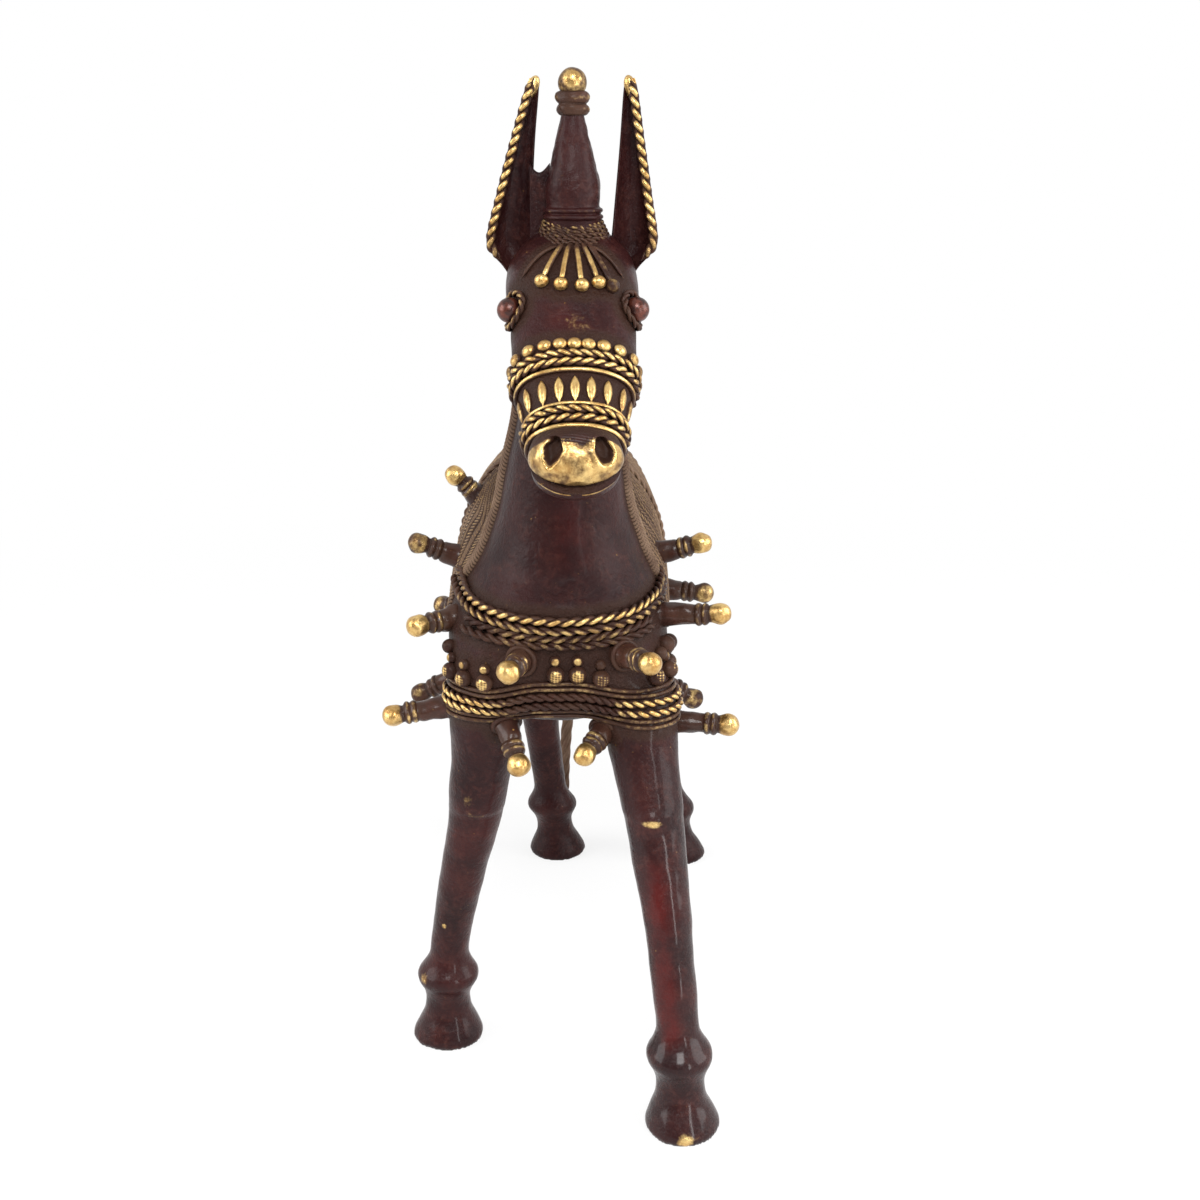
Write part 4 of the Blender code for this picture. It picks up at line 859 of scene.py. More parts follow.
def rope(wax, path, radius, leaf, hand, rub, closed=False, sink=0.9):
    """Two round strands twisted about a path. With hand 1 its leaves slant down as the path goes right."""
    places, normals, want, length = spread_evenly(*path, leaf / 8, closed)
    leaves = max(2, round(length / leaf / 2) * 2) if closed else length / leaf
    places = places + normals * radius * sink
    side = unit(np.cross(along_path(places, closed), normals))
    taper = end_taper(want, length, leaf, closed)
    sides = 10
    for start in (0.0, math.pi):
        offset = 0.5 * radius * around(normals, side, start + hand * math.pi * leaves * want / length)
        centre = places + offset * taper[:, None]
        points, faces = swept(centre, normals, 0.56 * radius * taper, sides, closed)
        raised = (points - np.repeat(places, sides, 0)) * np.repeat(normals, sides, 0)
        height = np.sum(raised, axis=1) / radius
        bright = np.repeat(rubbed_along(rub, want / length), sides) * ease(0.15, 0.95, height)
        wax.add((points, faces), bright, 0.9 * ease(0.35, -0.5, height))


def half_round(phase):
    """The section of threads laid side by side, one for each whole step of the phase."""
    part = phase - np.floor(phase)
    return np.sqrt(np.maximum(1 - (2 * part - 1) ** 2, 0.0))


def ridge(wax, path, half_width, height, pitch, hand, rub):
    """A rounded ridge covered with fine threads that cross it on a slant."""
    places, normals, want, length = spread_evenly(*path, pitch / 5)
    side = unit(np.cross(along_path(places), normals))
    angle = even_turns(24)
    up = np.cos(angle)
    across = np.sin(angle)
    thread = half_round((want[:, None] + 1.3 * hand * half_width * across) / pitch)
    reach = (0.82 + 0.23 * thread) * end_taper(want, length, 3.0)[:, None]
    points = places[:, None] + (height * reach * up)[..., None] * normals[:, None]
    points = points - (half_width * reach * across)[..., None] * side[:, None]
    bright = rub * ease(0.7, 1.0, thread) * ease(0.2, 0.9, up)
    wax.add(loft(points), bright.ravel(), ease(0.97, 0.5, thread).ravel())


def bead(place, normal, along, sizes, sides=18, rows=12):
    """An oval bead from its half sizes across, along and out of the skin, and each point's height on it."""
    along = unit(along - normal * np.dot(along, normal))
    across = np.cross(along, normal)
    angle = np.linspace(0, math.pi, rows)[:, None, None]
    ring = around(across * sizes[0], along * sizes[1], even_turns(sides))
    shape = loft(place + np.maximum(np.sin(angle), 0.03) * ring - np.cos(angle) * normal * sizes[2])
    return shape, height_on(shape, place, normal) / sizes[2]


def height_on(shape, place, way):
    return np.sum((shape[0] - place) * way, axis=1)


# Thread work on the head

def face_path(skin, along):
    """A ring round the head at a distance down the face, starting and ending under the jaw."""
    turns = np.linspace(-math.pi, math.pi, 145, endpoint=False)
    return laid(skin, to_head(-along * Y), around(Z, X, turns) @ HEAD_AXES.T, True)


def face_place(skin, along, turn):
    return skin.touch(to_head(-along * Y), HEAD_AXES @ around(Z, X, turn))


def face_rub(share):
    """Bright across the face, dull under the jaw."""
    turn = np.abs(np.asarray(share) - 0.5) * 360
    return 0.92 - 0.65 * ease(50, 115, turn)


def fan(count, step):
    """Even steps to both sides of the middle."""
    return (np.arange(count) - (count - 1) / 2) * step


def nosebands(skin):
    second_upper = NOSE_UPPER_ALONG + NOSE_ROPE_STEP
    second_lower = NOSE_LOWER_ALONG + NOSE_ROPE_STEP
    # Name, place down the face, radius, twist (0 for a plain wire)
    rows = (
        ("noseband_upper_rope_1", NOSE_UPPER_ALONG, NOSE_ROPE_RADIUS, 1),
        ("noseband_upper_rope_2", second_upper, NOSE_ROPE_RADIUS, -1),
        ("noseband_upper_wire", second_upper + NOSE_WIRE_STEP, NOSE_WIRE_RADIUS, 0),
        ("noseband_petal_wire", NOSE_LOWER_ALONG - NOSE_WIRE_STEP, 0.8 * NOSE_WIRE_RADIUS, 0),
        ("noseband_lower_rope_1", NOSE_LOWER_ALONG, NOSE_ROPE_RADIUS, 1),
        ("noseband_lower_rope_2", second_lower, NOSE_ROPE_RADIUS, -1),
        ("noseband_lower_wire", second_lower + NOSE_WIRE_STEP, 1.15 * NOSE_WIRE_RADIUS, 0),
    )
    for name, along, radius, hand in rows:
        wax = Wax()
        path = face_path(skin, along)
        if hand:
            rope(wax, path, radius, NOSE_ROPE_LEAF, hand, face_rub, True)
        else:
            wire(wax, path, radius, face_rub, True)
        if name == "noseband_upper_rope_1":
            nose_beads(wax, skin)
        if name == "noseband_petal_wire":
            petals(wax, skin)
        cast_piece(name, wax, "rubbed_brass")


def nose_beads(wax, skin):
    """The row of flattened beads above the upper noseband."""
    for turn in fan(NOSE_BEADS, NOSE_BEAD_STEP):
        place, normal = face_place(skin, NOSE_UPPER_ALONG - NOSE_BEAD_ABOVE, turn)
        shape, height = bead(place + normal * NOSE_BEAD_SEAT, normal, DOWN_THE_FACE, NOSE_BEAD_SIZES)
        wax.add(shape, (1.15 - 0.4 * abs(turn)) * ease(-0.2, 0.6, height), ease(0.2, -0.4, height))


def petals(wax, skin):
    """Leaf-shaped drops between the two nosebands, each on a short stem."""
    middle = NOSE_LOWER_ALONG - NOSE_WIRE_STEP - PETAL_HALF_LENGTH - PETAL_GAP
    share = np.linspace(-1, 1.35, 28)
    leaf = PETAL_HALF_WIDTH * (1 - np.abs(np.clip(share, -1, 1)) ** 2.2)
    width = np.maximum(leaf + PETAL_STEM * ease(0.4, 0.9, share), 0.05)
    tall = PETAL_HEIGHT * np.sqrt(width * PETAL_HALF_WIDTH)
    for turn in fan(PETALS, PETAL_STEP):
        place, normal = face_place(skin, middle, turn)
        along = unit(DOWN_THE_FACE - normal * np.dot(DOWN_THE_FACE, normal))
        centres = place + share[:, None] * PETAL_HALF_LENGTH * along + 0.05 * normal
        shape = loft(oval_rings(centres, np.cross(along, normal), normal, width, tall, tall, 2.0, 14))
        height = height_on(shape, place, normal) / PETAL_HEIGHT
        wax.add(shape, (1.12 - 0.35 * abs(turn)) * ease(0.05, 0.6, height), ease(0.3, -0.2, height))


def brow_path(skin, across, along):
    """A line on the brow, from its points across and down the face."""
    return laid(skin, to_head(stacked(across, -along, FACE_RAY_START)), HEAD_AXES @ -Z)


def forehead_fringe(skin):
    """Five rods that fan out from a knot and end in balls, with a thin browband wire on each side."""
    wax = Wax()
    t = np.linspace(0, 1, 24)
    for k, (end_across, end_along, shine) in zip(fan(len(FRINGE_ENDS), 1), FRINGE_ENDS):
        along = FRINGE_KNOT_ALONG + (end_along - FRINGE_KNOT_ALONG) * t
        start = FRINGE_KNOT_ACROSS + FRINGE_ROD_STEP * k
        across = start + (end_across - start) * t + 0.5 * k * t * (1 - t)
        path = brow_path(skin, across, along)

        def rub(share, shine=shine):
            return shine * (0.4 + 0.5 * ease(0.05, 0.5, share))

        wire(wax, path, FRINGE_ROD_RADIUS, rub, sides=12)
        place, normal = path[0][-1], path[1][-1]
        shape, height = bead(place + normal * FRINGE_BALL_SEAT, normal, DOWN_THE_FACE, FRINGE_BALL_SIZES)
        wax.add(shape, shine * ease(-0.6, 0.15, height), ease(0.0, -0.7, height))
    for side in (-1, 1):
        path = brow_path(skin, side * (2.2 + 8.3 * t), FRINGE_KNOT_ALONG + 1.2 + 7.0 * t**2)
        wire(wax, path, BROWBAND_RADIUS, 0.35)
    cast_piece("forehead_fringe", wax, "rubbed_brass")


def eyes(skin):
    for side, word, shine in ((1, "left", 0.28), (-1, "right", 0.55)):
        place, normal = skin.touch(to_head((0, -EYE_ALONG, EYE_LIFT)), HEAD_AXES @ X * side)
        ball = place + normal * EYE_SEAT
        shape, height = bead(ball, normal, DOWN_THE_FACE, (EYE_RADIUS,) * 3, 28, 20)
        cast_piece(word + "_eye", Wax(shape, 0.0, ease(-0.1, -0.5, height)), "eye_brass")
        starts = place + ring_of_ways(normal, 48) * EYE_RIM_RADIUS + normal * 6
        wax = Wax()
        path = laid(skin, starts, -normal, True)
        rope(wax, path, EYE_RIM_ROPE_RADIUS, EYE_RIM_LEAF, side, shine, True)
        cast_piece(word + "_eye_rim", wax, "rubbed_brass")


# Nose and lip

def jaw_shape(rows, upward, count, sides):
    past, half, height = smooth_rows(rows, count).T
    level = MOUTH_LEVEL + upward * (0.5 * MOUTH_GAP + LIP_ROUND)
    edge = 0 * past + LIP_ROUND
    high, low = (height, edge) if upward > 0 else (edge, height)
    centres = stacked(0, -HEAD_LENGTH - past, level)
    return loft(oval_rings(centres, X, Z, half, high, low, JAW_SQUARENESS, sides))


def nose():
    """The polished nose with two hollow nostrils, each in a raised rim."""
    points, faces = jaw_shape(MUZZLE_ROWS, 1, 90, 140)
    polish = 0.55 + uneven(points, 2.2, 0.3, 9.0)
    shade = np.zeros(len(points))
    moved = points.copy()
    for side in (-1, 1):
        middle = side * NOSTRIL_SPREAD + NOSTRIL_SHIFT
        spot = np.array((middle, -HEAD_LENGTH - NOSTRIL_ALONG, MOUTH_LEVEL + NOSTRIL_LIFT))
        away = (points - spot) / NOSTRIL_SIZES
        away[:, 0] += 0.18 * side * away[:, 1]
        distance = np.linalg.norm(away, axis=1) + uneven(points, 1.7, 0.22, 2.0 + side)
        hollow = ease(1.08, 0.6, distance)
        rim = bell(distance, 1.2, 0.22)
        inward = unit(np.array((-0.25 * side, 0.75, -0.62)))
        moved += (hollow * NOSTRIL_DEPTH - rim * NOSTRIL_RIM)[:, None] * inward
        polish -= 1.1 * ease(0.12, 0.6, hollow) - 0.15 * rim
        shade += ease(0.1, 0.6, hollow)
    across = points[:, 0]
    past = -HEAD_LENGTH - points[:, 1]
    patch = ease(5.0, 1.8, np.abs(across)) * ease(3.2, 1.6, past)
    hatch = np.sin(6.5 * across - 3.9 * past) * np.sin(5.0 * across + 6.0 * past)
    moved[:, 2] += 0.12 * patch * hatch + uneven(points, 3.0, 0.12, 7.0)
    polish -= patch * (0.25 + 0.35 * (hatch < 0))
    back = 0.8 * ease(1.6, 0.2, past)
    wax = Wax((to_head(moved), faces), polish - back, shade + back)
    make_piece("nose_cast", wax, "bright_brass", "muzzle")


def lower_lip():
    """The lower lip with a bright edge line of painted highlight, and the web of wax, darkened with painted
    shade, that closes the mouth further in.
    """
    points, faces = jaw_shape(LIP_ROWS, -1, 60, 110)
    level = points[:, 2] - MOUTH_LEVEL
    # The bright line just under the top edge, towards the front, is a painted highlight; the lip's top is
    # darkened as painted shade inside the mouth.
    rim = bell(level, -0.9, 0.35) * ease(4.0, 7.0, -HEAD_LENGTH - points[:, 1])
    top = ease(-0.75, -0.5, level)
    wax = Wax((to_head(points), faces), 0.95 * rim * (1 - top), top)
    past, half, _ = smooth_rows(LIP_ROWS, 40).T
    web = 0 * past + MOUTH_GAP
    centres = stacked(0, -HEAD_LENGTH - MOUTH_WEB_LENGTH * past, MOUTH_LEVEL)
    half = MOUTH_WEB_WIDTH * half
    points, faces = loft(oval_rings(centres, X, Z, half, web, web, MOUTH_WEB_SQUARENESS, 60))
    # The web is darkened all over: painted shade inside the mouth.
    wax.add((to_head(points), faces), 0.0, 1.0)
    cast_piece("lower_lip", wax, "patina_brass")


# Ears and crest

def ears():
    """Cupped leaves that face forward, each with a rope along its outer edge and a bright tip."""
    share, half, drawn = smooth_rows(EAR_ROWS, 90).T
    across = np.linspace(-1, 1, 29)
    bow = 1 - across**2
    foot = BODY_FRONT + CREST_BEHIND_CHEST + EAR_BEHIND_CREST
    depth = foot + EAR_LEAN_BACK * share[:, None] + half[:, None] * EAR_CUP * bow
    height = HEAD_PIVOT - EAR_FOOT_DROP + EAR_HEIGHT * share[:, None]
    wall = EAR_THICKNESS * np.minimum(1.0, 0.35 + 0.22 * half)[:, None]
    edge = np.sqrt(np.maximum(1 - np.abs(across) ** 6, 0.05))
    for side, word, spread in ((1, "left", LEFT_EAR_SPREAD), (-1, "right", RIGHT_EAR_SPREAD)):
        out = spread[0] + (spread[1] - spread[0]) * np.maximum(share, 0.0) ** EAR_BOW - drawn
        middle = HEAD_LEAN + side * out[:, None]
        flat = stacked(middle + side * across * half[:, None], depth, height)
        ripple = uneven(flat.reshape(-1, 3), 4.0, 0.35, 11.0 + side).reshape(depth.shape)
        front = flat + (ripple * bow)[..., None] * Y
        back = flat + (wall * edge + ripple)[..., None] * Y + (side * across * 0.25)[:, None] * X
        order = slice(None, None, -side)
        points, faces = sheet(front[:, order], back[:, order])
        high = (points[:, 2] - HEAD_PIVOT + EAR_FOOT_DROP) / EAR_HEIGHT
        wax = Wax((points, faces), 0.9 * ease(0.94, 0.99, high), 0.5 * ease(0.3, 0.05, high))
        if side < 0:
            wax.add(casting_web())
        cast_piece(word + "_ear", wax, "patina_brass")
        line = flat[share > EAR_ROPE_FOOT, -1] - 0.3 * Y - side * 0.75 * EAR_ROPE_RADIUS * X
        wax = Wax()
        facing = np.broadcast_to(-Y, line.shape)
        rope(wax, (line, facing), EAR_ROPE_RADIUS, EAR_ROPE_LEAF, -side, ear_rub)
        tip_sizes = (EAR_TIP_HALF_WIDTH, EAR_TIP_HALF_LENGTH, EAR_TIP_RADIUS)
        shape, bulge = bead(flat[-11, 14] - Y * 0.3, -Y, line[-1] - line[-12], tip_sizes, 20, 16)
        wax.add(shape, 0.95 * ease(-0.6, 0.2, bulge))
        cast_piece(word + "_ear_rope", wax, "rubbed_brass")


def ear_rub(share):
    """Bright along the ear's edge, duller at its foot."""
    return 0.78 - 0.3 * ease(0.25, 0.0, share)


def casting_web():
    """A little flash of metal left between the right ear and the crest."""
    left = HEAD_LEAN - 8.6
    right = HEAD_LEAN - 4.4
    u = np.linspace(0, 1, 15)
    v = u[:, None]
    foot = HEAD_PIVOT + 4.0
    top = HEAD_PIVOT + 21.3 - 2.2 * np.sin(math.pi * u) * (1 - 0.3 * u)
    height = foot + (top - foot) * v
    depth = BODY_FRONT + CREST_BEHIND_CHEST
    front, back = (stacked(left + (right - left) * u, depth + past, height) for past in (1.0, 2.6))
    return sheet(front, back)


def crest():
    """The plume holder between the ears: a cone on two rings, a collar and a ball."""
    seat = np.array((CREST_LEAN, BODY_FRONT + CREST_BEHIND_CHEST, HEAD_PIVOT + CREST_LIFT))
    r = CREST_RADIUS
    h = CREST_HEIGHT
    cone_rows = (
        (-3.0, r - 0.2),
        (-1.2, r + 0.1),
        (-0.7, r + 0.65),
        (-0.2, r + 0.65),
        (0.25, r + 0.2),
        (0.7, r + 0.6),
        (1.2, r + 0.5),
        (1.8, r - 0.1),
        (0.2 * h, r + 0.1),
        (0.33 * h, r),
        (0.50 * h, 0.86 * r),
        (0.74 * h, 0.64 * r),
        (h + 0.4, 0.42 * r),
    )
    points, faces = turned(cone_rows, 90, 56)
    dents = uneven(points, 4.5, 0.35, 21.0) + uneven(points, 1.3, 0.16, 23.0)
    points = pushed(points, dents * ease(2.5, 6.0, points[:, 2]))
    ring = ease(-1.0, -0.6, points[:, 2]) * ease(1.8, 1.0, points[:, 2])
    wax = Wax((points + seat, faces), 0.45 * ring * ease(r + 0.3, r + 0.6, from_axis(points)))
    cast_piece("crest_cone", wax, "patina_brass")
    # Shares of the collar's height and radius
    collar_rows = (
        (0.0, 0.6),
        (0.05, 0.82),
        (0.22, 0.97),
        (0.38, 0.93),
        (0.48, 0.82),
        (0.58, 0.94),
        (0.74, 1.0),
        (0.92, 0.9),
        (1.0, 0.7),
    )
    collar_sizes = (CREST_COLLAR_HEIGHT, CREST_COLLAR_RADIUS)
    points, faces = turned(np.array(collar_rows) * collar_sizes, 50, 48)
    points = pushed(points, uneven(points, 2.5, 0.5, 31.0))
    out = from_axis(points) / CREST_COLLAR_RADIUS
    points = points + seat + Z * (h + CREST_BALL_LIFT - 1.6 - CREST_COLLAR_HEIGHT)
    wax = Wax((points, faces), 0.45 * ease(0.86, 1.02, out), ease(0.9, 0.8, out))
    cast_piece("crest_collar", wax, "rubbed_brass")
    ball = seat + Z * (h + CREST_BALL_LIFT)
    shape, height = bead(ball, Z, X, (CREST_BALL_RADIUS,) * 3, 40, 28)
    points, faces = shape
    # Painted highlight: the ball's polish is brightest on the side that faces forward and up, towards the
    # camera and the front lamp, and duller round its rim.
    facing = height_on(shape, ball, unit(0.3 * Z - Y)) / CREST_BALL_RADIUS
    points = points + unit(points - ball) * uneven(points, 2.2, 0.1, 37.0)[:, None]
    wax = Wax((points, faces), 0.36 + 0.55 * ease(0.72, 1.0, facing), ease(-0.35, -0.8, height))
    cast_piece("crest_ball", wax, "bright_brass")


def poll_rub(share):
    return 0.25 + 0.3 * np.asarray(share)


def poll_coil():
    """Thread wound round the poll under the crest, each turn a little narrower than the one below."""
    seat = np.array((CREST_LEAN, BODY_FRONT + CREST_BEHIND_CHEST + 1.2, 0.0))
    top = HEAD_PIVOT + CREST_LIFT - 1.0
    p = POLL_COIL_RADIUS
    core_rows = ((top - 14, p + 0.3), (top - 6, p + 0.5), (top - 3, p - 0.4), (top, 0.8 * p))
    points, faces = turned(core_rows, 24, 40)
    wax = Wax((points + seat, faces), 0.0, 1.0)
    share = np.linspace(0, 1, 420)
    height = top - 6.0 + 5.8 * share
    radius = p * (1.16 - 0.3 * share) - 0.35
    normals = around(X, Y, POLL_TURNS * TURN * share)
    places = radius[:, None] * normals + height[:, None] * Z + seat
    places = places + uneven(places, 2.0, 0.55, 61.0)[:, None] * Z
    places = places + uneven(places, 2.6, 0.5, 63.0)[:, None] * normals
    rope(wax, (places, normals), POLL_ROPE_RADIUS, POLL_LEAF, 1, poll_rub, sink=0.5)
    cast_piece("poll_coil", wax, "rubbed_brass")


# Collar and breast band

def chest_rays(turns, level, rise=0.0, dip=0.0):
    """Rays at the front of the horse, from its right side to its left, with their height along the band."""
    ways = around(-Y, X, turns)
    drop = dip * ease(BREAST_DIP_FROM, BREAST_DIP_TO, np.abs(turns))
    height = level + rise * (1 - np.cos(turns)) - drop
    return stacked(0, BODY_FRONT + COLLAR_CENTRE, height) + RAY_START * ways, -ways


def chest_path(skin, level, reach, rise=0.0, dip=0.0):
    return laid(skin, *chest_rays(np.linspace(-reach, reach, 181), level, rise, dip))


def chest_place(skin, level, degrees):
    return skin.touch(*chest_rays(math.radians(degrees), level, dip=BREAST_DIP))


def collar(skin):
    """Two braids of twisted ropes round the foot of the neck; the top rope is rubbed brightest."""
    for k, shine in enumerate(COLLAR_SHINES):

        def rub(share, shine=shine):
            return shine * (1 - 0.45 * ease(0.45, 0.8, np.abs(2 * share - 1)))

        reach = COLLAR_REACH if k < 2 else COLLAR_LOWER_REACH
        path = chest_path(skin, COLLAR_TOP - k * COLLAR_ROPE_STEP, reach, COLLAR_RISE)
        wax = Wax()
        rope(wax, path, COLLAR_ROPE_RADIUS, COLLAR_LEAF, 1 if k % 2 else -1, rub)
        cast_piece("collar_rope_%d" % (k + 1), wax, "rubbed_brass")


def breast_rub(share):
    """Rubbed bright over the two shoulders, dull at the middle and at the sides."""
    side = 2 * np.asarray(share) - 1
    right = ease(-0.95, -0.75, side) * ease(-0.2, -0.45, side)
    left = ease(0.15, 0.35, side) * ease(0.85, 0.6, side)
    return 0.3 + 0.62 * np.maximum(right, left)


def breast_band(skin):
    wire_step = 2 * BREAST_WIRE_RADIUS + BREAST_WIRE_GAP
    to_rope = BREAST_WIRE_RADIUS + BREAST_ROPE_RADIUS + BREAST_BAND_GAP
    rope_step = 2 * BREAST_ROPE_RADIUS + BREAST_ROPE_GAP
    level = BREAST_TOP
    rows = (
        ("breast_wire_1", 0.0),
        ("breast_wire_2", wire_step),
        ("breast_rope_1", to_rope),
        ("breast_rope_2", rope_step),
        ("breast_wire_3", to_rope),
        ("breast_wire_4", wire_step),
    )
    for name, drop in rows:
        level -= drop
        path = chest_path(skin, level, BREAST_REACH, dip=BREAST_DIP)
        wax = Wax()
        if "rope" in name:
            rope(wax, path, BREAST_ROPE_RADIUS, BREAST_LEAF, 1, breast_rub)
        else:
            wire(wax, path, BREAST_WIRE_RADIUS, 0.42)
        if name == "breast_wire_1":
            chest_beads(wax, skin)
        cast_piece(name, wax, "rubbed_brass")


def chest_beads(wax, skin):
    """Beads on the breast band, each with a smaller one above it; the large ones are hatched."""
    for degrees in CHEST_BEAD_TURNS:
        shine = 0.62 if degrees < 15 else 0.4
        for rise, radius in CHEST_BEAD_PAIR:
            place, normal = chest_place(skin, BREAST_TOP + rise, degrees)
            shape, height = bead(place + normal * 0.35 * radius, normal, Z, (radius,) * 3, 36, 26)
            across, _, up = shape[0].T
            hatch = 0.3 * np.sin(5.5 * (across + up)) * np.sin(3.5 * (across - 1.6 * up))
            rub = (shine + hatch * (radius > 1.5)) * ease(0.4, 0.9, height)
            wax.add(shape, rub, 0.7 * ease(0.5, -0.2, height))
    for degrees, rise, radius in SIDE_LUMPS:
        place, normal = chest_place(skin, BREAST_TOP + rise, degrees)
        wax.add(bead(place + normal * 0.3 * radius, normal, Z, (radius,) * 3, 20, 14)[0], 0.1, 0.4)


# Mane, withers and saddle cloth

def herringbone(across, along, band):
    """Height of threads that slant one way in one band and the other way in the next."""
    column = np.floor(across / band)
    inside = across / band - column
    slant = np.where(column % 2 == 0, 1.0, -1.0)
    threads = half_round((along + slant * (inside - 0.5) * band * 0.9) / THREAD_PITCH)
    seam = ease(0.0, 0.1, np.minimum(inside, 1 - inside))
    return threads * (0.35 + 0.65 * seam)


def neck_threads(across, along):
    return herringbone(across, along, MANE_BAND)


def back_threads(across, along):
    return herringbone(along, across, CLOTH_BAND)


def withers_stitches(across, along):
    """Short stitches in narrow rows that run on a slant."""
    row = along / WITHERS_BAND + 0.25 * across / WITHERS_BAND
    inside = row - np.floor(row)
    slant = np.where(np.floor(row) % 2 == 0, 1.0, -1.0)
    stitch = half_round((across + slant * 0.9 * WITHERS_BAND * inside) / WITHERS_PITCH)
    return stitch * (0.3 + 0.7 * ease(0.0, 0.22, np.minimum(inside, 1 - inside)))


def threaded_sheet(skin, starts, ways, thickness, pattern):
    """A sheet where a grid of rays leaves the skin, covered with laid threads of the given pattern."""
    starts, ways = np.broadcast_arrays(starts, ways)
    places, normals = skin.cast(starts.reshape(-1, 3), ways.reshape(-1, 3))
    normals = unit(evened_grid(normals.reshape(starts.shape), 2, 4))
    places = evened_grid(places.reshape(starts.shape), 1, 3)
    across = run_length(places, 1)
    along = run_length(places, 0)
    height = pattern(across, along)
    margin = np.minimum(np.minimum(across, across[:, -1:] - across), np.minimum(along, along[-1:] - along))
    edge = ease(0.0, SHEET_EDGE, margin)
    lift = (thickness - THREAD_HEIGHT) * (0.45 + 0.55 * edge) + THREAD_HEIGHT * height
    polish = 0.76 * ease(0.8, 1.0, height) * (0.6 + 0.4 * edge)
    polish = np.concatenate((polish.ravel(), np.zeros(polish.size)))
    shade = np.concatenate((ease(1.0, 0.65, height).ravel(), np.ones(height.size)))
    return Wax(sheet(places + normals * lift[..., None], places - normals * SHEET_SEAT), polish, shade)


def neck_middle(height):
    """Points up the middle of the neck."""
    middle = BODY_FRONT + NECK_MIDDLE - NECK_MIDDLE_DRIFT * height / NECK_HEIGHT
    return stacked(neck_lean(height), middle, BODY_AXIS + height)


def mane(skin):
    """A sheet of threads over the back of the neck, with a hatched ridge along each front edge."""
    turns = np.linspace(TURN - MANE_EDGE, MANE_EDGE, 210)
    share = np.linspace(0, 1, 170)[:, None]
    back = 0.5 - 0.5 * np.cos(TURN * np.linspace(0, 1, len(turns)))
    low = MANE_FOOT + (MANE_FOOT_BACK - MANE_FOOT) * back
    starts = neck_middle(low + (MANE_TOP - low) * share)
    wax = threaded_sheet(skin, starts, around(-Y, X, turns), MANE_THICKNESS, neck_threads)
    starts = neck_middle(np.linspace(MANE_RIDGE_FOOT, MANE_TOP + 1.0, 90))
    for hand in (-1, 1):
        path = laid(skin, starts, around(-Y, X, hand * MANE_EDGE), width=5)
        ridge(wax, path, MANE_RIDGE_HALF_WIDTH, MANE_THICKNESS, MANE_RIDGE_PITCH, hand, 0.6)
    cast_piece("mane", wax, "thread_brass")


def withers(skin):
    """Stitches over the body beside the neck, between the mane and the saddle cloth."""
    turns = np.linspace(WITHERS_REACH, -WITHERS_REACH, 400)
    share = np.linspace(0, 1, 140)[:, None]
    start = WITHERS_TOP - (WITHERS_TOP - WITHERS_SIDE) * ease(0.25, 0.8, np.abs(turns))
    along = BODY_FRONT + start + (CLOTH_FRONT - WITHERS_GAP - start) * share
    starts = stacked(BODY_LEAN, along, BODY_AXIS)
    wax = threaded_sheet(skin, starts, around(Z, X, turns), WITHERS_THICKNESS, withers_stitches)
    make_piece("withers_threads", wax, "thread_brass")


def saddle_cloth(skin):
    """A herringbone sheet over the barrel, with a rope along its front and rear edges."""
    turns = np.linspace(CLOTH_REACH, -CLOTH_REACH, 250)
    along = np.linspace(BODY_FRONT + CLOTH_FRONT, BODY_FRONT + CLOTH_BACK, 110)[:, None]
    starts = stacked(BODY_LEAN, along + 0 * turns, BODY_AXIS)
    wax = threaded_sheet(skin, starts, around(Z, X, turns), CLOTH_THICKNESS, back_threads)
    cast_piece("saddle_cloth", wax, "thread_brass")
    ways = around(Z, X, np.linspace(-CLOTH_REACH, CLOTH_REACH, 121))
    for word, place in (("front", CLOTH_FRONT - CLOTH_ROPE_GAP), ("rear", CLOTH_BACK + CLOTH_ROPE_GAP)):
        path = laid(skin, np.array((BODY_LEAN, BODY_FRONT + place, BODY_AXIS)), ways)
        wax = Wax()
        rope(wax, path, CLOTH_ROPE_RADIUS, CLOTH_ROPE_LEAF, 1, 0.25)
        cast_piece("saddle_cloth_%s_rope" % word, wax, "rubbed_brass", "thread_brass")


# Pegs and tail

def peg_rows(reach):
    """Flared root, tapering shank, two turns of thread and a ball, as height above the skin and radius."""
    root = ((-2.5, 3.3), (-0.6, 3.25), (0.3, 3.1), (1.2, 2.85), (0.5 * reach, 2.5))
    # The rest as height above the foot of the ball
    threads = (
        (-3.5, 2.25),
        (-3.1, 2.5),
        (-2.6, 2.68),
        (-2.1, 2.5),
        (-1.8, 2.3),
        (-1.5, 2.5),
        (-1.05, 2.62),
        (-0.6, 2.4),
        (-0.15, 1.95),
    )
    ball = (
        (0.3, 2.0),
        (1.0, 2.28),
        (1.8, 2.5),
        (2.7, 2.55),
        (3.6, 2.3),
        (4.3, 1.75),
        (4.75, 1.0),
        (4.95, 0.12),
    )
    return root + tuple((reach + height, radius) for height, radius in threads + ball)


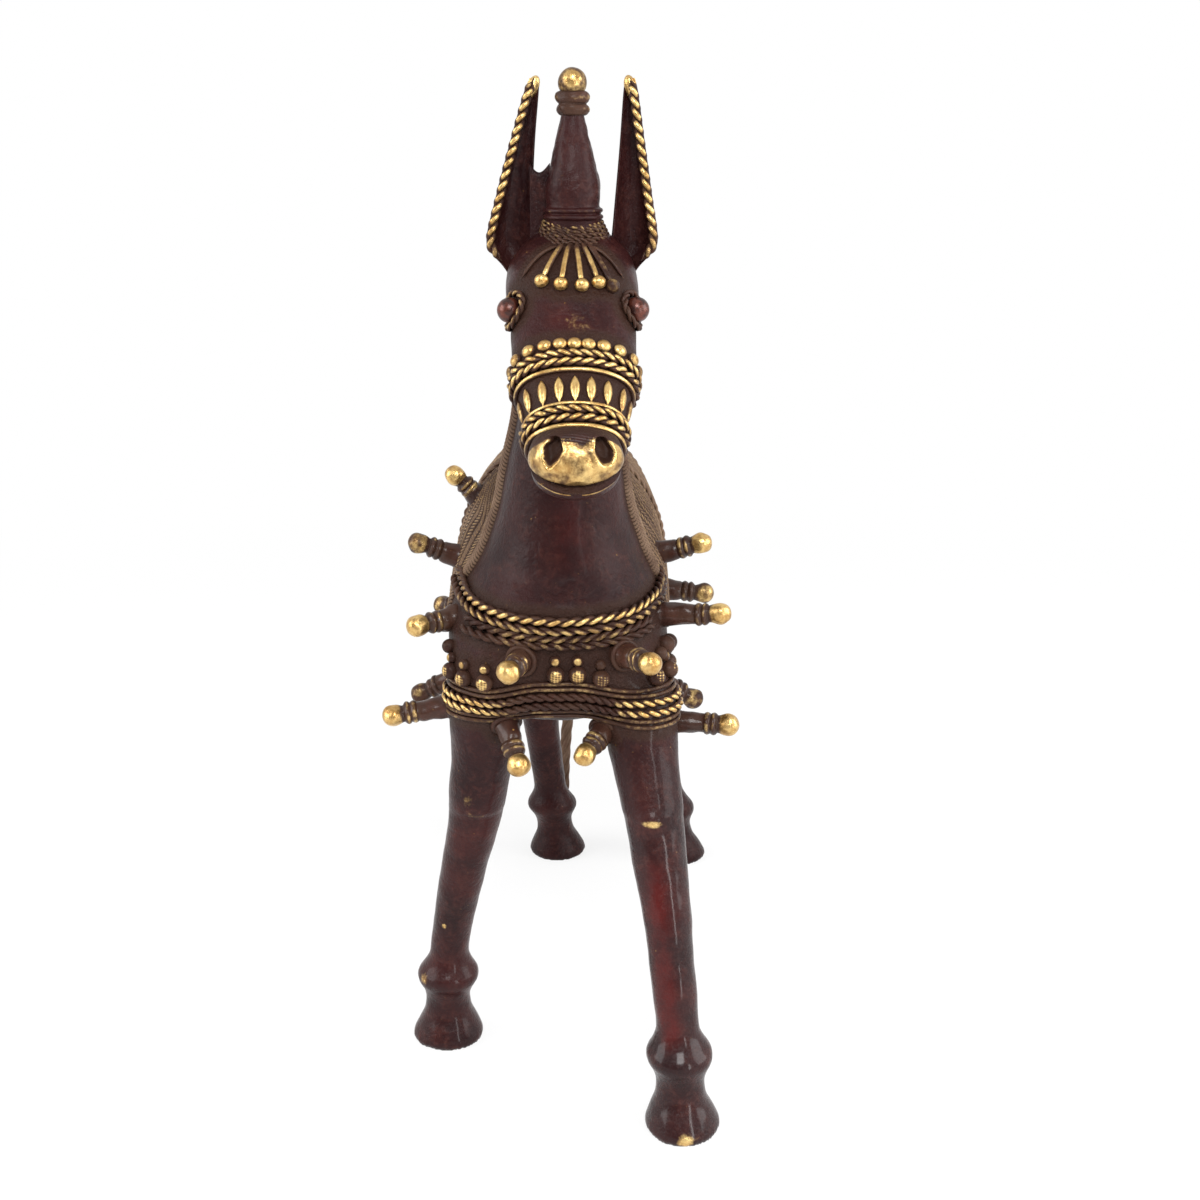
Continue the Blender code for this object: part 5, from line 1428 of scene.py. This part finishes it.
def pegs(skin):
    for seed, (name, ball, points, shine) in enumerate(PEG_ROWS):
        way = unit(np.array(points))
        aim = np.array((0, BODY_FRONT, BODY_AXIS)) + np.array(ball)
        root, _ = skin.touch(aim + PEG_RAY_START * way, -way)
        reach = max(np.dot(aim - root, way), PEG_LEAST_LENGTH) - PEG_BALL_RADIUS
        shape, faces = turned(peg_rows(reach), 110, 32)
        out = from_axis(shape)
        height = shape[:, 2] - reach
        shape = pushed(shape, uneven(shape, 2.4, 0.34, 40.0 + seed))
        at_ball = ease(-0.3, 1.2, height)
        at_threads = ease(-3.6, -3.0, height)
        ring = ease(2.35, 2.65, out) * at_threads * ease(0.0, -0.4, height)
        shank = ease(-3.2, -4.4, height)
        worn = uneven(shape, 1.7, 0.3, 60.0 + seed) * (1 - shank)
        polish = 0.85 * shine * (at_ball + 0.45 * ring) + worn
        polish += 0.12 * ease(-12.0, -3.0, height) * (1 - at_ball)
        groove = ease(2.5, 2.2, out) * at_threads * ease(0.6, 0.1, height)
        shade = np.maximum(groove, 0.6 * ease(3.0, 0.0, shape[:, 2]))
        turn = np.array(Vector(way).to_track_quat("Z", "Y").to_matrix())
        wax = Wax((shape @ turn.T + root, faces), polish, shade, 0.32 * shank, 0.5 * (1 - at_ball))
        if "front" in name or "chest" in name:
            out = ring_of_ways(way, 40)
            places = root + PEG_RING_REACH * out + PEG_RING_LIFT * way
            wax.add(swept(places, out, PEG_RING_RADIUS, 12, True), 0.25, 0.3)
        cast_piece(name, wax, "rubbed_brass")


def tail():
    """A thin rod of five strands, laid round a core, that comes down to the right hind fetlock."""
    root = BODY_FRONT + BODY_LENGTH
    foot = RIGHT_HIND_FOOT
    behind = FETLOCK_RADIUS + TAIL_RADIUS + 0.3
    stops = (
        (0.0, root - 12.0, BODY_AXIS + TAIL_ROOT_LIFT),
        (0.0, root + 1.0, BODY_AXIS + TAIL_ROOT_LIFT + 3.0),
        (0.0, root + TAIL_SWEEP, BODY_AXIS - 8.0),
        (0.5, root + TAIL_SWEEP, 0.55 * BODY_AXIS),
        (foot[0] + 2.2, foot[1] + behind + 0.6, TAIL_END_HEIGHT + 10.0),
        (foot[0] + 1.6, foot[1] + behind, FETLOCK_HEIGHT - 1.0),
    )
    places = smooth_rows(stops, 160)
    normals = np.broadcast_to(X, places.shape)
    along = along_path(places)
    side = unit(np.cross(along, normals))
    up = np.cross(side, along)
    wax = Wax(swept(places, normals, TAIL_RADIUS * 0.86, 14), 0.1, 0.6)
    for start in even_turns(TAIL_STRANDS):
        out = around(up, side, start + run_length(places) * TURN / TAIL_TWIST)
        wax.add(swept(places + out * TAIL_RADIUS * 0.62, out, TAIL_RADIUS * 0.5, 8), 0.35, 0.2)
    cast_piece("tail", wax, "thread_brass")


# Finishes

class Shade:
    """A socket of a finish, with arithmetic that adds Math nodes."""

    def __init__(self, finish, socket):
        self.finish = finish
        self.socket = socket

    def maths(self, operation, first, second):
        return self.finish.node("ShaderNodeMath", {"operation": operation}, {0: first, 1: second})

    def __add__(self, other):
        return self.maths("ADD", self, other)

    def __sub__(self, other):
        return self.maths("SUBTRACT", self, other)

    def __rsub__(self, other):
        return self.maths("SUBTRACT", other, self)

    def __mul__(self, other):
        return self.maths("MULTIPLY", self, other)

    __radd__ = __add__
    __rmul__ = __mul__

    def larger(self, other):
        return self.maths("MAXIMUM", self, other)

    def ease(self, low, high):
        settings = {"interpolation_type": "SMOOTHSTEP"}
        values = {"Value": self, "From Min": low, "From Max": high}
        return self.finish.node("ShaderNodeMapRange", settings, values)


class Finish:
    """The node tree of one material or of the world."""

    def __init__(self, tree):
        self.tree = tree

    def node(self, kind, settings, values, output=0):
        made = self.tree.nodes.new(kind)
        for word, value in settings.items():
            setattr(made, word, value)
        for key, value in values.items():
            self.feed(made.inputs[key], value)
        return Shade(self, made.outputs[output]) if made.outputs else None

    def feed(self, socket, value):
        if isinstance(value, Shade):
            self.tree.links.new(value.socket, socket)
        else:
            socket.default_value = value

    def mask(self, word):
        return self.node("ShaderNodeAttribute", {"attribute_name": word}, {}, "Fac")

    def place(self):
        return self.node("ShaderNodeTexCoord", {}, {}, "Object")

    def cloud(self, size, detail, rough=0.55):
        """Noise with patches of about the given size in mm."""
        values = {"Vector": self.place(), "Scale": 1 / (size * MM), "Detail": detail, "Roughness": rough}
        return self.node("ShaderNodeTexNoise", {}, values, "Fac")

    def mix(self, share, first, second):
        settings = {"data_type": "RGBA"}
        return self.node("ShaderNodeMix", settings, {0: share, 6: first, 7: second}, 2)

    def bump(self, height, depth):
        """Relief of the given depth in mm."""
        return self.node("ShaderNodeBump", {}, {"Strength": 1.0, "Distance": depth * MM, "Height": height})


def srgb(red, green, blue):
    """A colour from 0 to 255 as a screen shows it, as the linear one that a shader takes."""
    values = []
    for value in (red, green, blue):
        share = value / 255
        values.append(share / 12.92 if share <= 0.04045 else ((share + 0.055) / 1.055) ** 2.4)
    return (*values, 1.0)


PATINA_DARK = srgb(30, 11, 12)
PATINA = srgb(47, 20, 19)
PATINA_WORN = srgb(82, 47, 40)
PATINA_RED = srgb(72, 18, 16)
# Earth in hollows, also used as painted shade in grooves, under strands and inside the mouth.
RECESS = srgb(51, 33, 24)
RUBBED_DARK = srgb(42, 25, 21)
RUBBED = srgb(68, 47, 36)
BRASS = srgb(224, 192, 128)
BRASS_DEEP = srgb(168, 126, 70)
THREAD_DULL = srgb(124, 101, 82)
THREAD_DARK = srgb(80, 60, 48)
# Painted shade in the grooves between laid threads, under the thread sheets and round the tail's core.
THREAD_RECESS_SHADE = srgb(26, 17, 14)
EYE_BROWN = srgb(92, 45, 32)
EYE_DARK = srgb(46, 23, 19)
CLAY = srgb(128, 98, 80)
CLAY_DARK = srgb(92, 68, 54)
FLOOR_GREY = (0.9, 0.9, 0.9, 1)
WHITE = (1, 1, 1, 1)
BRASS_SPECULAR = 0.11
COAT_ROUGHNESS = 0.13


def new_finish(name):
    surface = bpy.data.materials.new(name)
    surface.use_nodes = True
    finish = Finish(surface.node_tree)
    return surface, finish, surface.node_tree.nodes["Principled BSDF"].inputs


def cast_brass(name, dark, light, recess, rub_low, rub_high, gloss, relief):
    """Patinated brass: dark skin, red where it is thin and where a painted reflection is laid, earth and
    painted shade in hollows, bare metal where it is rubbed.
    """
    surface, finish, shader = new_finish(name)
    polish = finish.mask("polish")
    shade = finish.mask("shade")
    red_and_reflection = finish.mask("red_and_reflection")
    sheen = finish.mask("sheen")
    broad = finish.cloud(16.0, 3)
    middle = finish.cloud(4.5, 4)
    fine = finish.cloud(1.1, 4, 0.65)
    skin = finish.mix(broad.ease(0.3, 0.7), dark, light)
    skin = finish.mix((fine * 0.6 + middle * 0.5).ease(0.5, 0.85) * 0.5, skin, PATINA_WORN)
    # Red patina from its mask; on the left fore leg the same mask lays a red painted reflection.
    skin = finish.mix((red_and_reflection * (broad * 1.2 + middle * 0.9 - 0.4)).ease(0.1, 0.8), skin, PATINA_RED)
    # Where the shade mask is high: earth in hollows, and painted shade in grooves, under strands, inside
    # the mouth and nostrils and beside the thread work.
    earth_and_shade = finish.mix(middle.ease(0.3, 0.7) * 0.4, recess, dark)
    skin = finish.mix((shade * 0.8 + (middle - 0.5) * 0.6).ease(0.2, 0.9), skin, earth_and_shade)
    specks = finish.cloud(0.9, 2).ease(0.72, 0.78) * finish.cloud(9.0, 2).ease(0.45, 0.65)
    skin = finish.mix(specks * 0.6, skin, BRASS_DEEP)
    rubbed = (polish + (fine - 0.5) * 0.5 + (middle - 0.5) * 0.3).ease(rub_low, rub_high)
    metal = finish.mix((middle * 0.6 + fine * 0.5).ease(0.35, 0.75), BRASS_DEEP, BRASS)
    finish.feed(shader["Base Color"], finish.mix(rubbed, skin, metal))
    finish.feed(shader["Metallic"], rubbed * 0.92)
    finish.feed(shader["Roughness"], gloss + fine * 0.16 + shade * 0.2 - rubbed * 0.04 - sheen * 0.08)
    shader["Specular IOR Level"].default_value = BRASS_SPECULAR
    shader["Coat Roughness"].default_value = COAT_ROUGHNESS
    finish.feed(shader["Coat Weight"], 0.02 + sheen * 0.4)
    grain = fine * 0.8 + middle * 0.8 + shade * fine * 1.2
    finish.feed(shader["Normal"], finish.bump(grain, relief))
    return surface


def eye_finish():
    surface, finish, shader = new_finish("eye")
    shade = finish.mask("shade")
    middle = finish.cloud(2.2, 4)
    fine = finish.cloud(0.7, 4)
    colour = finish.mix((middle + (fine - 0.5) * 0.4).ease(0.35, 0.65), EYE_DARK, EYE_BROWN)
    finish.feed(shader["Base Color"], finish.mix(shade, colour, PATINA_DARK))
    shader["Metallic"].default_value = 0.35
    finish.feed(shader["Roughness"], 0.2 + fine * 0.2)
    finish.feed(shader["Normal"], finish.bump(middle, 0.1))
    return surface


def clay_finish():
    surface, finish, shader = new_finish("fired_clay")
    middle = finish.cloud(5.0, 5)
    fine = finish.cloud(0.8, 4)
    finish.feed(shader["Base Color"], finish.mix(middle.ease(0.3, 0.7), CLAY_DARK, CLAY))
    finish.feed(shader["Roughness"], 0.85 + fine * 0.15)
    finish.feed(shader["Normal"], finish.bump(fine + middle, 0.3))
    return surface


# Finish of each slot: name, dark, light and recess colours, range of the rub, gloss and relief
FINISHES = {
    "patina_brass": cast_brass("patina", PATINA_DARK, PATINA, RECESS, 0.45, 0.9, 0.24, 0.36),
    "rubbed_brass": cast_brass("rubbed", RUBBED_DARK, RUBBED, RECESS, 0.36, 0.8, 0.28, 0.16),
    "bright_brass": cast_brass("bright", PATINA_DARK, RUBBED, RECESS, 0.25, 0.7, 0.24, 0.14),
    "thread_brass": cast_brass("thread", THREAD_DARK, THREAD_DULL, THREAD_RECESS_SHADE, 0.5, 1.0, 0.42, 0.15),
    "eye_brass": eye_finish(),
}


# The skin's own masks

def thread_distance(points, pieces, reach):
    """How close each skin point is to the laid thread work: 1 beside it, 0 beyond the reach."""
    places = [(read_vectors(piece.data, "co") / MM - SHIFT)[::3] for piece in pieces]
    places = np.concatenate(places)
    tree = KDTree(len(places))
    for i, p in enumerate(places):
        tree.insert(p, i)
    tree.balance()
    found = np.array([tree.find(p)[2] for p in points])
    return ease(reach, 0.3 * reach, found)


def skin_piece(skin, threads):
    """The cast skin itself, with masks for earth and painted shade beside the threads, red centres, a red
    painted reflection on the left fore leg, and rubbed spots.
    """
    points = skin.points
    x, y, z = points.T
    # Earth and painted shade where the skin meets the thread work.
    shade = 0.9 * thread_distance(points, threads, 4.5)
    # Rubbed spots: how bright, place, reach
    spots = (
        (0.95, KNEE_SPOT - Y, (3.0, 3.0, 1.1)),
        (0.75, FETLOCK_SPOT, 2.6),
        (0.6, FOREARM_SPOT, (2.2, 3.0, 4.0)),
        (0.5, FOREARM_FOLD, (4.0, 3.0, 0.9)),
        (1.0, SHIN_SPOT, 0.9),
        (0.7, HOOF_SPOT, 1.8),
    )
    across, along, lift = from_head(points).T
    brow = bell(across, 0.0, 7.5) * bell(along, -24.0, 6.0) * ease(4, 8, lift)
    polish = sum(shine * near(points, place, reach) for shine, place, reach in spots)
    polish += 0.5 * brow + 0.34 * ease(8.0, 2.0, z)
    chest = bell(x, 3.5, 5.0) * ease(BODY_FRONT + 12, BODY_FRONT + 4, y)
    chest *= ease(118, 132, z) * ease(172, 146, z)
    fore = ease(80, 60, y)
    # A red strip down the front of the left fore leg: a painted reflection.
    shin = LEFT_FORE_FOOT[0] - 0.09 * z - 1.0
    reflection_strip = fore * bell(x, shin, 2.6) * ease(66, 58, z) * ease(18, 26, z)
    red_and_reflection = 0.5 * chest + 0.45 * brow + 0.3 * fore * ease(95, 66, z) + 0.6 * reflection_strip
    sheen = fore * ease(76, 64, z) * (0.3 + 0.3 * ease(0, 5, x))
    sheen += 0.22 * fore * ease(106, 96, z) * ease(64, 76, z)
    wax = Wax((points, skin.faces), polish, shade, np.clip(red_and_reflection, 0, 1), sheen)
    legs = ("left_fore_leg", "right_fore_leg", "left_hind_leg", "right_hind_leg")
    make_piece("cast_skin", wax, "patina_brass", "body_shell", "neck", "head", *legs)


# Studio

def white_rays(finish):
    """Rays that show the white background: from the camera, and mirrored or passed on by a surface."""
    words = ("Is Camera Ray", "Is Glossy Ray", "Is Transmission Ray")
    camera, glossy, through = (finish.node("ShaderNodeLightPath", {}, {}, word) for word in words)
    return camera, glossy.larger(through)


def pale_floor():
    corners = [(-FLOOR_HALF, -FLOOR_HALF, 0), (FLOOR_HALF, -FLOOR_HALF, 0)]
    corners += [(FLOOR_HALF, FLOOR_HALF, 0), (-FLOOR_HALF, FLOOR_HALF, 0)]
    floor = add_object("floor", make_mesh("floor", corners, [(0, 1, 2, 3)]))
    surface, finish, _ = new_finish("pale_floor")
    finish.tree.nodes.clear()
    camera_ray, mirror_ray = white_rays(finish)
    seen = camera_ray.larger(mirror_ray * 0.5)
    spot = finish.node("ShaderNodeNewGeometry", {}, {}, "Position")
    away = finish.node("ShaderNodeVectorMath", {"operation": "LENGTH"}, {0: spot}, "Value")
    bright = 0.8 + away.ease(0.14, 0.6) * 0.2
    matt = finish.node("ShaderNodeBsdfDiffuse", {}, {"Color": FLOOR_GREY})
    white = finish.node("ShaderNodeEmission", {}, {"Color": WHITE, "Strength": 1.0})
    both = finish.node("ShaderNodeMixShader", {}, {0: seen * bright, 1: matt, 2: white})
    finish.node("ShaderNodeOutputMaterial", {}, {"Surface": both})
    floor.data.materials.append(surface)


def white_room():
    """White surroundings, dimmer on the camera's side."""
    world = bpy.data.worlds.new("white_room")
    bpy.context.scene.world = world
    world.use_nodes = True
    world.node_tree.nodes.clear()
    room = Finish(world.node_tree)
    way = room.node("ShaderNodeTexCoord", {}, {}, "Generated")
    behind = room.node("ShaderNodeSeparateXYZ", {}, {0: way}, "Y").ease(-0.75, 0.1)
    level = 0.35 + behind * 0.3
    camera_ray, mirror_ray = white_rays(room)
    seen = camera_ray.larger(mirror_ray * behind)
    strength = level + seen * (1 - level)
    light = room.node("ShaderNodeBackground", {}, {"Color": WHITE, "Strength": strength})
    room.node("ShaderNodeOutputWorld", {}, {"Surface": light})


def lamps():
    for name, place, width, height, power in LAMPS:
        light = bpy.data.lights.new(name, "AREA")
        light.shape = "RECTANGLE"
        light.size = width
        light.size_y = height
        light.energy = power
        stand = add_object(name, light)
        stand.location = place
        stand.rotation_euler = (LAMP_AIM - Vector(place)).to_track_quat("-Z", "Y").to_euler()


def camera():
    view = bpy.data.cameras.new("camera")
    view.lens = CAMERA_LENS
    view.sensor_width = 36.0
    view.clip_start = 0.01
    stand = add_object("camera", view)
    stand.location = (np.array(CAMERA_PLACE) + SHIFT) * MM
    stand.rotation_euler = (CAMERA_TILT, 0, 0)
    bpy.context.scene.camera = stand


def studio():
    bpy.context.scene.view_settings.view_transform = "Standard"
    pale_floor()
    white_room()
    lamps()
    camera()


def horse():
    skin = Skin(cast_skin_mesh())
    collar(skin)
    breast_band(skin)
    nosebands(skin)
    forehead_fringe(skin)
    mane(skin)
    withers(skin)
    saddle_cloth(skin)
    eyes(skin)
    pegs(skin)
    threads = [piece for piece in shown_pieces() if "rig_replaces" in piece]
    nose()
    lower_lip()
    ears()
    crest()
    poll_coil()
    tail()
    skin_piece(skin, threads)
    core = frame["nodes"]["clay_core"]
    core.data.materials.clear()
    core.data.materials.append(clay_finish())


horse()
studio()
